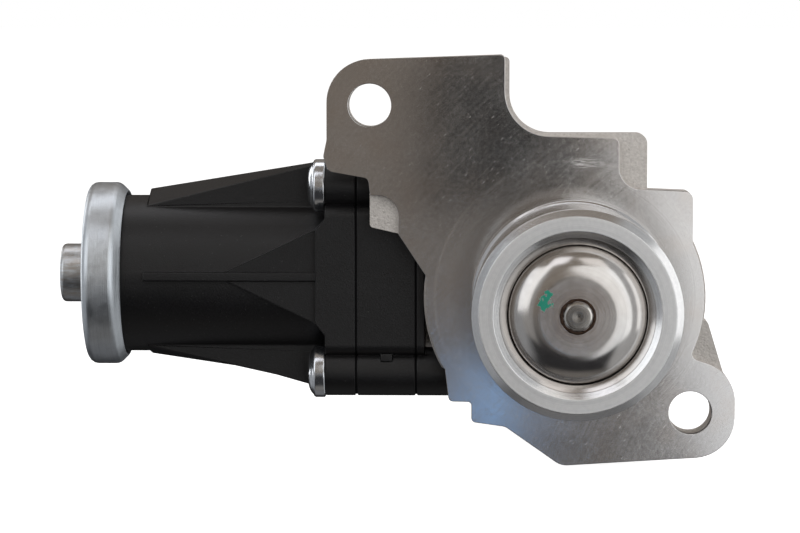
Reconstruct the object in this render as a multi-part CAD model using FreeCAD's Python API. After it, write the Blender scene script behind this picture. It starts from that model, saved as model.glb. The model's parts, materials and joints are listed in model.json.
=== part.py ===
import FreeCAD, Part
import math
import os

# Exhaust gas recirculation valve with an electric actuator, in millimetres.
# The origin is where the valve stem's axis crosses the machined flange face.
# +X is to the right, +Z up, and +Y points into the body, away from the spigot.

# Machined flange
pad_height = 1.6
flange_thickness = 8.0
bolt_hole_radius = 4.5
bolt_one = (-42.4, 40.2)
bolt_two = (24.7, -24.0)
lug_radius = 9.2
right_bulge_radius = 27.5
left_bulge_radius = 30.75
right_bulge_half = 12.5
left_bulge_top = 10.0
left_bulge_bottom = -14.9

# Spigot and gas chamber
spigot_radius = 21.0
spigot_length = 39.0
spigot_chamfer = 1.5
pilot_length = 8.0
front_land_length = 6.4
spigot_relief = 0.5
mouth_radius = 16.7
mouth_depth = 0.9
seat_pocket_depth = 7.5
chamber_radius = 14.6
chamber_end = -4.0
window_half_width = 12.0
window_gap = 0.6
window_back = -9.0
window_corner = 4.0

# Seat ring and poppet
seat_outer_radius = 15.4
seat_bore_radius = 12.3
disc_radius = 13.8
disc_recess = 2.1
disc_edge_thickness = 1.6
dome_flat_radius = 7.4
dome_height = 3.5
seat_clearance = 0.15
weld_radius = 3.7
weld_height = 0.5
stem_tip_reach = 0.8
stem_tip_chamfer = 0.4
valve_lift = 6.0

# Stem, guide, seal and spring
stem_radius = 3.0
stem_tip_radius = 2.85
stem_running_clearance = 0.05
guide_boss_radius = 7.6
guide_boss_end = -9.5
guide_radius = 5.0
guide_back = 11.5
scraper_wall = 0.8
scraper_lip = 3.4
seal_pocket_radius = 7.0
seal_length = 4.5
retainer_thickness = 1.0
spring_chamber_radius = 10.6
spring_seat_thickness = 1.2
spring_mean_radius = 7.4
spring_wire_radius = 0.85
spring_turns = 5.0
spring_length = 19.0
plate_radius = 9.4
plate_thickness = 2.2
collet_radius = 4.2
collet_gap_half = 0.3

# Follower and face cam
follower_pin_radius = 1.2
roller_radius = 2.5
roller_width = 3.0
groove_clearance = 0.12
groove_depth = 3.4
cam_start_radius = 5.0
cam_turn_degrees = 120.0
cam_radius = 15.8
cam_thickness = 5.8
cam_right_face = -4.2
cam_hub_radius = 6.2
cam_hub_length = 2.8
stem_end_beyond_pin = 3.0

# Stem barrel and cam chamber of the body
barrel_radius = 17.0
chamber_wall = 3.6
stem_rib_root = 10.0
rib_thickness = 4.0
rib_height = 10.0
cam_space_left = -13.8
cam_space_right = 7.5
cam_space_half_height = 17.2
cam_space_front_gap = 0.9
cam_space_back_gap = 1.2
rear_cover_thickness = 3.0
rear_gasket_thickness = 0.6
cover_screw_radius = 2.0
cover_screw_inset = 3.6
cover_screw_depth = 9.0

# Gear train
gear_module = 0.75
pressure_angle = 25.0
addendum_share = 0.85
dedendum_share = 1.2
tooth_backlash = 0.16
pinion_teeth = 10
large_teeth = 34
small_teeth = 11
output_teeth = 36
intermediate_z = -6.0
large_gear_left = -44.4
large_gear_width = 3.6
small_gear_width = 4.2
gear_side_gap = 0.4

# Shafts, bearings and seal of the output side
output_shaft_radius = 4.0
output_neck_radius = 3.0
shaft_clearance = 0.04
bearing_radius = 8.0
bearing_width = 5.0
bearing_gap = 1.6
shaft_seal_width = 2.8
intermediate_axle_radius = 2.0
magnet_radius = 4.4
magnet_width = 2.0
clip_thickness = 0.6
clip_gap_half = 1.2
gear_rim = 2.6
gear_hub_wall = 2.4
lightening_hole_radius = 1.5

# Motor
motor_y = 29.0
motor_z = 2.8
barrel_outer_radius = 17.0
barrel_inner_radius = 14.7
motor_shaft_radius = 1.6
can_wall = 1.2
motor_magnet_thickness = 3.5
magnet_gap_half = 3.0
air_gap = 0.6
rotor_length = 22.0
winding_inset = 1.2
winding_length = 3.4
commutator_radius = 4.2
commutator_length = 5.0
commutator_gap = 0.6
brush_length = 4.5
brush_half_width = 1.5
brush_plate_thickness = 1.4
busbar_inset = 6.0
busbar_width = 2.0
busbar_thickness = 0.8
busbar_offset = 5.0
motor_front_wall_left = -57.0
motor_bearing_radius = 5.0
motor_bearing_width = 4.0

# End cap
cap_overhang = 2.8
cap_sheet = 1.2
cap_face_x = -104.4
cap_corner = 1.6
cap_straight_end = -97.8
cap_lip_x = -95.9
cap_lip_overhang = 0.7
cap_boss_radius = 6.35
cap_boss_x = -110.5
cap_boss_corner = 1.0
collar_clearance = 0.15
seal_section = 1.4

# Layers of the actuator along X
motor_flange_left = -52.3
motor_flange_right = -45.85
outer_gasket_thickness = 0.4
inner_gasket_thickness = 0.35
gear_housing_right = -33.1
adapter_right = -31.1
adapter_boss_right = -25.6
housing_wall = 2.3
flange_recess_x = -50.2
gear_floor = 2.2
gasket_setback = 0.3
snap_tab_from_left = 5.0
snap_tab_length = 2.5
snap_tab_depth = 1.7
snap_tab_height = 1.2

# Outline of the actuator, in Y and Z
housing_front = 9.5
housing_back = 77.6
housing_top = 18.8
housing_bottom = -13.4
housing_belly = -22.8
housing_rear_bottom = -17.6
screw_reach = 19.9
screw_front_y = 15.0
screw_rear_y = 70.8
screw_rear_top_z = 19.6
screw_rear_bottom_z = -18.6
screw_boss_radius = 5.2
screw_radius = 2.5
screw_clearance = 0.25
thread_clearance = 0.05
screw_head_radius = 5.6
screw_head_height = 3.7
screw_disc_thickness = 2.4
screw_socket_radius = 2.1
screw_socket_depth = 2.0
screw_tip_x = -17.0
screw_boss_end_x = -14.5
plate_right = -24.5

# Gussets on the motor housing
gusset_half = 8.2
gusset_start_x = -91.1
gusset_kink_x = -63.7
gusset_start_edge = 15.2
top_gusset_start = 18.4
top_gusset_end = 24.75
bottom_gusset_start = 17.6
bottom_gusset_kink = 21.7
bottom_gusset_end = 24.6
back_rib_end_y = 67.4
front_rib_width = 1.8
front_rib_y = 10.6
plateau_y = 11.4
plateau_tip_x = -75.6
plateau_half = 9.9
step_left = -54.3
step_flare = 12.9

# Connector
connector_y = 63.0
connector_length = 23.0
connector_half_z = 11.5
connector_half_y = 6.9
connector_wall = 1.5
connector_corner = 3.4
terminal_count = 5
terminal_pitch = 3.2
terminal_width = 1.5
terminal_thickness = 0.7
terminal_reach = 11.0
board_thickness = 1.2
board_front = 50.0
board_back = 72.0
board_half = 12.0
sensor_half = 2.4
sensor_thickness = 0.3

# Worked out from the sizes above
disc_edge_y = disc_recess - spigot_length
seat_ring_front = mouth_depth - spigot_length
pocket_back = seat_ring_front + seat_pocket_depth
window_front = pocket_back + window_gap
gear_housing_left = motor_flange_right + outer_gasket_thickness
adapter_left = gear_housing_right + inner_gasket_thickness
cap_radius = barrel_outer_radius + cap_overhang
cap_lip_radius = barrel_outer_radius + cap_lip_overhang
magnet_inner_radius = barrel_inner_radius - can_wall - motor_magnet_thickness
rotor_radius = magnet_inner_radius - air_gap
winding_radius = rotor_radius - winding_inset
can_right = motor_front_wall_left - brush_plate_thickness - 0.2
can_left = cap_straight_end + 1.3
commutator_left = motor_front_wall_left - commutator_gap - commutator_length
rotor_right = commutator_left - winding_length
rotor_left = rotor_right - rotor_length
pinion_pitch = gear_module * pinion_teeth / 2
large_pitch = gear_module * large_teeth / 2
small_pitch = gear_module * small_teeth / 2
output_pitch = gear_module * output_teeth / 2
intermediate_y = motor_y + math.sqrt((pinion_pitch + large_pitch) ** 2 - (motor_z - intermediate_z) ** 2)
output_y = intermediate_y + math.sqrt((small_pitch + output_pitch) ** 2 - intermediate_z ** 2)
cam_rise_per_radian = valve_lift / math.radians(cam_turn_degrees)
follower_y = output_y - cam_start_radius
cam_space_front = output_y - cam_radius - cam_space_front_gap
cam_space_back = output_y + cam_radius + cam_space_back_gap
cam_left_face = cam_right_face - cam_thickness
cam_hub_left = cam_left_face - cam_hub_length
seal_front = guide_back + 0.5
seal_back = seal_front + seal_length
spring_floor = seal_back + retainer_thickness
spring_start = spring_floor + spring_seat_thickness
plate_front = spring_start + spring_length
stem_front = disc_edge_y - dome_height
stem_back = follower_y + stem_end_beyond_pin
inner_bearing_right = cam_space_left - bearing_gap
inner_bearing_left = inner_bearing_right - bearing_width
outer_bearing_left = adapter_right + shaft_seal_width + bearing_gap
outer_bearing_right = outer_bearing_left + bearing_width
small_gear_left = large_gear_left + large_gear_width
output_gear_left = small_gear_left + gear_side_gap
output_gear_right = small_gear_left + small_gear_width
screw_places = [
    (screw_front_y, motor_z + screw_reach),
    (screw_front_y, motor_z - screw_reach),
    (screw_rear_y, screw_rear_top_z),
    (screw_rear_y, screw_rear_bottom_z),
]
rib_z = motor_z + 0.6


def vec(x, y, z):
    return FreeCAD.Vector(x, y, z)


def along_x(radius, left, right, y=0.0, z=0.0):
    return Part.makeCylinder(radius, right - left, vec(left, y, z), vec(1, 0, 0))


def along_y(radius, front, back, x=0.0, z=0.0):
    return Part.makeCylinder(radius, back - front, vec(x, front, z), vec(0, 1, 0))


def block(low, high):
    return Part.makeBox(high[0] - low[0], high[1] - low[1], high[2] - low[2], vec(*low))


def join(shapes):
    whole = shapes[0].fuse(shapes[1:])
    return whole.removeSplitter()


def rounded_wire(corners, place):
    """Closed wire through corners (a, b, radius), each rounded by its radius."""
    count = len(corners)
    edges = []
    last = None
    first = None
    for index in range(count):
        before = FreeCAD.Vector(corners[index - 1][0], corners[index - 1][1], 0)
        here = FreeCAD.Vector(corners[index][0], corners[index][1], 0)
        after = FreeCAD.Vector(corners[(index + 1) % count][0], corners[(index + 1) % count][1], 0)
        radius = corners[index][2]
        to_before = (before - here).normalize()
        to_after = (after - here).normalize()
        half = math.acos(max(-1.0, min(1.0, to_before.dot(to_after)))) / 2
        if radius > 0:
            reach = radius / math.tan(half)
            start = here + to_before * reach
            end = here + to_after * reach
            centre = here + (to_before + to_after).normalize() * (radius / math.sin(half))
            middle = centre + (here - centre).normalize() * radius
        else:
            start = here
            end = here
        if last is not None and (start - last).Length > 1e-6:
            edges.append(Part.LineSegment(place(last), place(start)).toShape())
        if first is None:
            first = start
        if radius > 0:
            edges.append(Part.Arc(place(start), place(middle), place(end)).toShape())
        last = end
    if (first - last).Length > 1e-6:
        edges.append(Part.LineSegment(place(last), place(first)).toShape())
    return Part.Wire(edges)


def plate_xz(corners, front, back):
    wire = rounded_wire(corners, lambda p: vec(p.x, front, p.y))
    return Part.Face(wire).extrude(vec(0, back - front, 0))


def plate_yz(corners, left, right):
    wire = rounded_wire(corners, lambda p: vec(left, p.x, p.y))
    return Part.Face(wire).extrude(vec(right - left, 0, 0))


def turned_x(profile, y=0.0, z=0.0):
    """Solid turned about a line along X from points (x, radius)."""
    points = [vec(x, y, z + radius) for x, radius in profile]
    face = Part.Face(Part.makePolygon(points + points[:1]))
    return face.revolve(vec(0, y, z), vec(1, 0, 0), 360)


def turned_y(profile, x=0.0, z=0.0):
    """Solid turned about a line along Y from points (y, radius)."""
    points = [vec(x, y, z + radius) for y, radius in profile]
    face = Part.Face(Part.makePolygon(points + points[:1]))
    return face.revolve(vec(x, 0, z), vec(0, 1, 0), 360)


def tube_x(outer, inner, left, right, y=0.0, z=0.0):
    return along_x(outer, left, right, y, z).cut(along_x(inner, left, right, y, z))


def tube_y(outer, inner, front, back, x=0.0, z=0.0):
    return along_y(outer, front, back, x, z).cut(along_y(inner, front, back, x, z))


pieces = {}

# Flange: the raised machined face and the cast plate behind it share one outline.
machined_corners = [
    (-51.4, 49.45, 9.0),
    (-14.2, 50.75, 0.9),
    (-14.2, 34.0, 9.4),
    (9.6, 33.4, 1.3),
    (9.6, 22.9, 4.6),
    (25.0, 22.3, 1.8),
    (25.0, -12.6, 1.6),
    (34.1, -15.6, 8.5),
    (33.9, -33.0, 8.6),
    (-2.3, -35.3, 4.2),
    (-14.0, -27.1, 2.5),
    (-21.1, -26.1, 1.0),
    (-21.1, -21.9, 0.8),
    (-25.8, -21.8, 1.0),
    (-26.6, -15.3, 4.0),
    (-27.6, 0.0, 8.0),
    (-36.4, 13.3, 1.0),
    (-36.4, 21.4, 4.4),
    (-42.3, 21.4, 0.4),
    (-42.7, 24.9, 1.2),
    (-51.1, 26.4, 1.6),
    (-52.1, 29.6, 1.6),
    (-51.4, 33.0, 2.0),
]


def flange_layer(front, back, grow):
    plate = plate_xz(machined_corners, front, back)
    right = along_y(right_bulge_radius + grow, front, back)
    right = right.common(block((0, front, -right_bulge_half), (right_bulge_radius + 5, back, right_bulge_half)))
    left = along_y(left_bulge_radius + grow, front, back)
    left = left.common(block((-left_bulge_radius - 5, front, left_bulge_bottom),
                             (1 - spigot_radius, back, left_bulge_top)))
    return join([plate, right, left])


left_lug = [
    (-42.4, 14.7, 0.8),
    (-35.0, 13.0, 0.0),
    (-35.0, 24.0, 0.0),
    (-42.4, 24.0, 0.0),
]
top_boss = [
    (-13.4, 34.4, 0.0),
    (15.5, 34.4, 2.2),
    (15.5, 21.5, 0.0),
    (-13.4, 21.5, 0.0),
]
side_boss = [
    (24.0, -3.6, 0.0),
    (28.3, -4.9, 1.2),
    (32.1, -17.4, 1.0),
    (26.0, -20.0, 0.0),
]
cast_ledge = [
    (-20.0, 50.2, 0.0),
    (-13.25, 50.2, 0.9),
    (-13.25, 34.4, 8.4),
    (0.0, 34.4, 0.0),
    (0.0, 25.0, 0.0),
    (-20.0, 25.0, 0.0),
]
flange_cast = flange_layer(pad_height, flange_thickness, 0.35)
for corners in (left_lug, top_boss, side_boss, cast_ledge):
    flange_cast = flange_cast.fuse(plate_xz(corners, pad_height, flange_thickness))
body = join([flange_layer(0.0, pad_height, 0.0), flange_cast])

# Spigot tube with a chamfered rim and two machined lands, stem barrel and cam chamber behind the flange.
relief_front = spigot_chamfer - spigot_length + front_land_length
spigot = turned_y([
    (1.0, 0.0),
    (1.0, spigot_radius),
    (-pilot_length, spigot_radius),
    (-pilot_length - spigot_relief, spigot_radius - spigot_relief),
    (relief_front + spigot_relief, spigot_radius - spigot_relief),
    (relief_front, spigot_radius),
    (spigot_chamfer - spigot_length, spigot_radius),
    (-spigot_length, spigot_radius - spigot_chamfer),
    (-spigot_length, 0.0),
])
cam_box_left = cam_space_left - chamber_wall
cam_box_right = cam_space_right + chamber_wall
cam_box_half = cam_space_half_height + chamber_wall
stem_barrel = turned_y([
    (flange_thickness - 1.0, 0.0),
    (flange_thickness - 1.0, barrel_radius + 4.0),
    (flange_thickness, barrel_radius + 4.0),
    (flange_thickness + 4.0, barrel_radius),
    (cam_space_front + 2.0, barrel_radius - 1.5),
    (cam_space_front + 2.0, 0.0),
])
cam_box_corners = [
    (cam_box_left, -cam_box_half, 4.0),
    (cam_box_right, -cam_box_half, 6.0),
    (cam_box_right, cam_box_half, 6.0),
    (cam_box_left, cam_box_half, 4.0),
]
cam_box = plate_xz(cam_box_corners, cam_space_front - chamber_wall, cam_space_back)

# Face that carries the actuator, with its screw bosses and webs.
housing_corners = [
    (housing_front, housing_bottom, 2.5),
    (housing_front, housing_top, 2.5),
    (housing_back, housing_top, 12.0),
    (housing_back, housing_rear_bottom, 12.0),
    (60.0, housing_rear_bottom, 5.0),
    (53.0, housing_belly, 5.0),
    (33.0, housing_belly, 5.0),
    (24.0, housing_bottom, 4.0),
]
mount_corners = [
    (22.0, housing_bottom, 3.0),
    (22.0, housing_top, 3.0),
    (housing_back, housing_top, 12.0),
    (housing_back, housing_rear_bottom, 12.0),
    (36.0, housing_rear_bottom, 4.0),
    (30.0, housing_bottom, 4.0),
]
mount_face = plate_yz(mount_corners, adapter_right, plate_right)
bearing_boss = along_x(bearing_radius + 4.0, plate_right - 1.0, cam_space_left, output_y, 0.0)
body_shapes = [body, spigot, stem_barrel, cam_box, mount_face, bearing_boss]
for y, z in screw_places:
    body_shapes.append(along_x(screw_boss_radius + 0.4, adapter_boss_right, screw_boss_end_x, y, z))
front_top = screw_places[0]
front_bottom = screw_places[1]
body_shapes.append(block((adapter_boss_right, flange_thickness - 1, front_top[1] - 3.5),
                         (screw_boss_end_x, front_top[0], front_top[1] + 3.5)))
body_shapes.append(block((-22.5, flange_thickness - 1, front_bottom[1] - 3.5),
                         (screw_boss_end_x, front_bottom[0], front_bottom[1] + 3.5)))
web_thickness = 5.0
for z_low, z_high in ((6.0, 6.0 + web_thickness), (-6.0 - web_thickness, -6.0)):
    body_shapes.append(block((adapter_right, flange_thickness - 1, z_low), (0, cam_space_front, z_high))
                       .common(plate_xz([(adapter_right + 4.2, z_low, 0), (0, z_low, 0), (0, z_high, 0),
                                         (adapter_right + 4.2, z_high, 0)], 0, 60)))
body_shapes.append(block((plate_right - 1, 22.5, -9.0), (-10.0, cam_space_front, 11.0)))
for y, z in (front_top, front_bottom):
    low_z, high_z = sorted((z, 10.0 if z > 0 else -10.0))
    body_shapes.append(block((screw_boss_end_x - 6.0, flange_thickness - 1, low_z),
                             (screw_boss_end_x, 24.0, high_z)))
for y, z in screw_places[2:]:
    low_z, high_z = sorted((z, 12.0 if z > 0 else -12.0))
    body_shapes.append(block((plate_right - 1, y - 4.0, low_z), (screw_boss_end_x, y + 4.0, high_z)))
for x, z in (bolt_one, bolt_two):
    reach = math.hypot(x, z) - lug_radius + 2.0
    rib_face = Part.Face(Part.makePolygon([
        vec(stem_rib_root, flange_thickness - 1, -rib_thickness / 2),
        vec(reach, flange_thickness - 1, -rib_thickness / 2),
        vec(reach, flange_thickness + 0.8, -rib_thickness / 2),
        vec(stem_rib_root, flange_thickness + rib_height, -rib_thickness / 2),
        vec(stem_rib_root, flange_thickness - 1, -rib_thickness / 2),
    ]))
    rib = rib_face.extrude(vec(0, 0, rib_thickness))
    rib.rotate(vec(0, 0, 0), vec(0, 1, 0), -math.degrees(math.atan2(z, x)))
    body_shapes.append(rib)
body = join(body_shapes)

# Holes and pockets of the body.
cuts = [
    turned_y([
        (-spigot_length - 0.1, 0.0),
        (-spigot_length - 0.1, mouth_radius),
        (-spigot_length, mouth_radius),
        (seat_ring_front, seat_outer_radius),
        (seat_ring_front, 0.0),
    ]),
    along_y(seat_outer_radius, -spigot_length, pocket_back),
    tube_y(chamber_radius, guide_boss_radius, pocket_back - 1.0, chamber_end),
    along_y(chamber_radius, pocket_back - 1.0, guide_boss_end),
    along_y(guide_radius, guide_boss_end - 1, guide_back),
    along_y(seal_pocket_radius, guide_back, spring_floor),
    along_y(spring_chamber_radius, spring_floor - retainer_thickness, cam_space_front + 1.0),
    block((cam_space_left, cam_space_front, -cam_space_half_height),
          (cam_space_right, cam_space_back + 1, cam_space_half_height)),
    along_x(bearing_radius, adapter_right, inner_bearing_right, output_y, 0),
    along_x(output_shaft_radius + 1.0, inner_bearing_right - 1, cam_space_left + 1, output_y, 0),
]
window_wire = rounded_wire([
    (-window_half_width, window_front, window_corner),
    (window_half_width, window_front, window_corner),
    (window_half_width, window_back, window_corner),
    (-window_half_width, window_back, window_corner),
], lambda p: vec(p.x, p.y, -spigot_radius - 2))
cuts.append(Part.Face(window_wire).extrude(vec(0, 0, spigot_radius + 2 - guide_boss_radius - 0.4)))
for x, z in (bolt_one, bolt_two):
    cuts.append(along_y(bolt_hole_radius, -1, flange_thickness + 20, x, z))
for y, z in screw_places:
    cuts.append(along_x(screw_radius + thread_clearance, adapter_boss_right - 6, screw_tip_x + 0.5, y, z))
    cuts.append(along_x(screw_boss_radius + 0.35, adapter_right - 1, adapter_boss_right, y, z))
cover_screws = []
for x in (cam_box_left + cover_screw_inset, cam_box_right - cover_screw_inset):
    for z in (-cam_box_half + cover_screw_inset - 0.8, cam_box_half - cover_screw_inset + 0.8):
        cover_screws.append((x, z))
for x, z in cover_screws:
    body = body.fuse(along_y(cover_screw_radius + 2.4, cam_space_back - 14, cam_space_back, x, z))
    cuts.append(along_y(cover_screw_radius + thread_clearance, cam_space_back - cover_screw_depth - 0.5,
                        cam_space_back + 1, x, z))
dowel_places = [(30.0, housing_top - 4.5), (66.0, housing_rear_bottom + 4.2)]
dowel_radius = 2.0
dowel_length = 7.0
for y, z in dowel_places:
    cuts.append(along_x(dowel_radius + 0.02, adapter_right - 1, adapter_right + dowel_length / 2 + 0.2, y, z))
body = body.cut(cuts)
pieces["valve_body"] = body.removeSplitter()

# Seat ring pressed into the spigot, with a shallow cone in front and the sealing cone inside.
seat_front = disc_edge_y + disc_edge_thickness
cone_depth = disc_radius - seat_bore_radius
seat_y = seat_front + seat_clearance
pieces["seat_ring"] = turned_y([
    (seat_ring_front, seat_outer_radius),
    (pocket_back, seat_outer_radius),
    (pocket_back, seat_bore_radius + 0.6),
    (pocket_back - 0.6, seat_bore_radius),
    (seat_y + cone_depth, seat_bore_radius),
    (seat_y, disc_radius),
    (disc_edge_y - 0.2, disc_radius + 0.15),
])

# Poppet: a turned disc whose dome rises in an arc to a flat top, welded to the stem's end.
dome_profile = [(seat_front + cone_depth + 1.2, 0.0)]
dome_profile += [
    (seat_front + cone_depth + 1.2, 6.0),
    (seat_front + cone_depth, seat_bore_radius - 0.6),
    (seat_front, disc_radius - 0.15),
    (disc_edge_y, disc_radius),
]
dome_run = disc_radius - dome_flat_radius
dome_tilt = 2 * math.atan2(dome_height, dome_run)
dome_arc_radius = dome_run / math.sin(dome_tilt)
dome_steps = 8
for step in range(1, dome_steps + 1):
    tilt = dome_tilt * (1 - step / dome_steps)
    radius = dome_flat_radius + dome_arc_radius * math.sin(tilt)
    depth = stem_front + dome_arc_radius * (1 - math.cos(tilt))
    dome_profile.append((depth, radius))
dome_profile.append((stem_front, 0.0))
disc = turned_y(dome_profile)
disc = disc.cut(along_y(stem_tip_radius, stem_front - 1, seat_front + 6))
pieces["poppet_disc"] = disc
pieces["stem_weld"] = turned_y([
    (stem_front, stem_tip_radius),
    (stem_front - weld_height, stem_tip_radius + 0.1),
    (stem_front - weld_height, weld_radius - 0.5),
    (stem_front, weld_radius),
])
stem = join([
    turned_y([
        (stem_front - stem_tip_reach, 0.0),
        (stem_front - stem_tip_reach, stem_tip_radius - stem_tip_chamfer),
        (stem_front - stem_tip_reach + stem_tip_chamfer, stem_tip_radius),
        (seat_front + cone_depth + 1.2, stem_tip_radius),
        (seat_front + cone_depth + 1.2, 0.0),
    ]),
    along_y(stem_radius, seat_front + cone_depth + 1.2, stem_back),
])
collet_y = plate_front + plate_thickness
stem = stem.cut(tube_y(stem_radius + 1, stem_radius - 0.6, collet_y - 0.2, collet_y + 1.0))
pin_right = stem_radius + 1.4
roller_left = cam_right_face - groove_depth + 0.2
stem = stem.cut(along_x(follower_pin_radius, -stem_radius - 1, stem_radius + 1, follower_y, 0))
pieces["valve_stem"] = stem

# Guide, scraper, seal and spring round the stem.
running_radius = stem_radius + stem_running_clearance
pieces["stem_guide_bush"] = tube_y(guide_radius, running_radius, guide_boss_end, guide_back)
pieces["stem_scraper"] = turned_y([
    (guide_boss_end - scraper_wall, running_radius),
    (guide_boss_end - scraper_wall, guide_boss_radius + scraper_wall),
    (guide_boss_end + scraper_lip, guide_boss_radius + scraper_wall),
    (guide_boss_end + scraper_lip, guide_boss_radius),
    (guide_boss_end, guide_boss_radius),
    (guide_boss_end, running_radius),
])
pieces["stem_seal"] = turned_y([
    (seal_front, running_radius + 0.9),
    (seal_front, seal_pocket_radius),
    (seal_back, seal_pocket_radius),
    (seal_back, running_radius + 1.6),
    (seal_back - 1.0, running_radius),
    (seal_back - 2.0, running_radius),
])
pieces["seal_retainer"] = tube_y(spring_chamber_radius - 0.1, running_radius + 0.5, seal_back, spring_floor)
pieces["spring_seat"] = turned_y([
    (spring_floor, running_radius + 0.8),
    (spring_floor, spring_chamber_radius - 0.3),
    (spring_start, spring_chamber_radius - 0.3),
    (spring_start, spring_mean_radius - spring_wire_radius - 0.2),
    (spring_start + 2.0, spring_mean_radius - spring_wire_radius - 0.2),
    (spring_start + 2.0, spring_mean_radius - spring_wire_radius - 1.0),
    (spring_start, spring_mean_radius - spring_wire_radius - 1.0),
    (spring_start, running_radius + 0.8),
])
coil_height = spring_length - 2 * spring_wire_radius
coil = Part.makeHelix(coil_height / spring_turns, coil_height, spring_mean_radius)
wire_corners = [vec(spring_mean_radius + spring_wire_radius * math.cos(math.radians(45 + 90 * index)), 0,
                    spring_wire_radius * math.sin(math.radians(45 + 90 * index))) for index in range(4)]
wire_section = Part.makePolygon(wire_corners + wire_corners[:1])
spring = Part.Wire(coil.Edges).makePipeShell([wire_section], True, True)
spring.rotate(vec(0, 0, 0), vec(1, 0, 0), -90)
spring.translate(vec(0, spring_start + spring_wire_radius, 0))
pieces["return_spring"] = spring
pieces["spring_retainer"] = turned_y([
    (plate_front, collet_radius - 0.6),
    (plate_front, plate_radius),
    (plate_front + 1.0, plate_radius),
    (plate_front + plate_thickness, collet_radius + 1.4),
    (plate_front + plate_thickness, collet_radius),
])
collet = turned_y([
    (plate_front, stem_radius),
    (plate_front, collet_radius - 0.6),
    (plate_front + plate_thickness, collet_radius),
    (collet_y + 1.0, collet_radius),
    (collet_y + 1.0, stem_radius - 0.6),
    (collet_y - 0.2, stem_radius - 0.6),
    (collet_y - 0.2, stem_radius),
])
split = block((-collet_radius - 1, plate_front - 1, -collet_gap_half),
              (collet_radius + 1, collet_y + 2, collet_gap_half))
pieces["retainer_collets"] = collet.cut(split)

# Follower pin through the stem's end, its roller and its clip.
pin_left = roller_left - 0.1
pin = along_x(follower_pin_radius, pin_left, pin_right, follower_y, 0)
pin_head = along_x(follower_pin_radius + 0.9, stem_radius, stem_radius + 0.9, follower_y, 0)
pieces["follower_pin"] = join([pin, pin_head])
pieces["pin_spacer"] = tube_x(follower_pin_radius + 0.6, follower_pin_radius,
                              roller_left + roller_width + 0.1, -stem_radius + 0.02, follower_y, 0)
pieces["pin_spacer"] = pieces["pin_spacer"].cut(along_y(stem_radius, follower_y - 5, follower_y + 5))
pieces["follower_roller"] = tube_x(roller_radius, follower_pin_radius + shaft_clearance,
                                   roller_left, roller_left + roller_width, follower_y, 0)


def groove_point(turn, side):
    """Point of the cam groove's wall; side is -1, 0 or 1 for inner wall, middle line or outer wall."""
    radius = cam_start_radius + cam_rise_per_radian * turn
    angle = math.pi - turn
    radial = FreeCAD.Vector(0, math.cos(angle), math.sin(angle))
    around = FreeCAD.Vector(0, math.sin(angle), -math.cos(angle))
    tangent = (radial * cam_rise_per_radian + around * radius).normalize()
    normal = FreeCAD.Vector(0, tangent.z, -tangent.y)
    if normal.dot(radial) < 0:
        normal = normal * -1
    half = roller_radius + groove_clearance
    return radial * radius + normal * (half * side), tangent


# Face cam with a spiral groove that moves the roller in proportion to the turn.
groove_margin = math.radians(3.0)
groove_end = math.radians(cam_turn_degrees) + groove_margin
groove_steps = 12
turns = [-groove_margin + (groove_end + groove_margin) * step / groove_steps for step in range(groove_steps + 1)]
walls = []
for side in (-1, 1):
    curve = Part.BSplineCurve()
    curve.interpolate([groove_point(turn, side)[0] for turn in turns])
    walls.append(curve.toShape())
half_groove = roller_radius + groove_clearance
caps = []
for turn, sign in ((turns[0], -1), (turns[-1], 1)):
    middle, tangent = groove_point(turn, 0)
    inner = groove_point(turn, -1)[0]
    outer = groove_point(turn, 1)[0]
    caps.append(Part.Arc(inner, middle + tangent * (half_groove * sign), outer).toShape())
groove_wire = Part.Wire(Part.__sortEdges__([walls[0], caps[1], walls[1], caps[0]]))
groove = Part.Face(groove_wire).extrude(vec(groove_depth + 1, 0, 0))
groove.translate(vec(cam_right_face - groove_depth, output_y, 0))
cam = join([
    along_x(cam_radius, cam_left_face, cam_right_face, output_y, 0),
    along_x(cam_hub_radius, cam_hub_left, cam_left_face + 1, output_y, 0),
])
cam = cam.cut(groove)
cam_seat_x = cam_left_face + 1.2
cam = cam.cut(along_x(output_shaft_radius, cam_hub_left - 1, cam_seat_x, output_y, 0))
pieces["cam_disc"] = cam

# Output shaft, its bearings and seal.
output_left = large_gear_left - 1.6
output_shaft = join([
    along_x(output_shaft_radius, output_gear_right + 0.4, cam_seat_x, output_y, 0),
    along_x(output_neck_radius, output_left, output_gear_right + 1, output_y, 0),
])
clip_x = output_gear_left - clip_thickness
output_shaft = output_shaft.cut(tube_x(output_neck_radius + 1, output_neck_radius - 0.4, clip_x,
                                       output_gear_left, output_y, 0))
pieces["output_shaft"] = output_shaft
shaft_fit = output_shaft_radius + shaft_clearance
pieces["output_bearing_inner"] = tube_x(bearing_radius, shaft_fit, inner_bearing_left, inner_bearing_right,
                                        output_y, 0)
pieces["output_bearing_outer"] = tube_x(bearing_radius, shaft_fit, outer_bearing_left, outer_bearing_right,
                                        output_y, 0)
pieces["bearing_spacer"] = tube_x(bearing_radius, bearing_radius - 1.2, outer_bearing_right,
                                  inner_bearing_left, output_y, 0)
pieces["output_shaft_seal"] = turned_x([
    (adapter_right + 0.1, bearing_radius),
    (adapter_right + shaft_seal_width, bearing_radius),
    (adapter_right + shaft_seal_width, shaft_fit + 2.2),
    (adapter_right + shaft_seal_width * 0.6, shaft_fit),
    (adapter_right + shaft_seal_width * 0.35, shaft_fit),
    (adapter_right + 0.1, shaft_fit + 1.4),
], output_y, 0)


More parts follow.
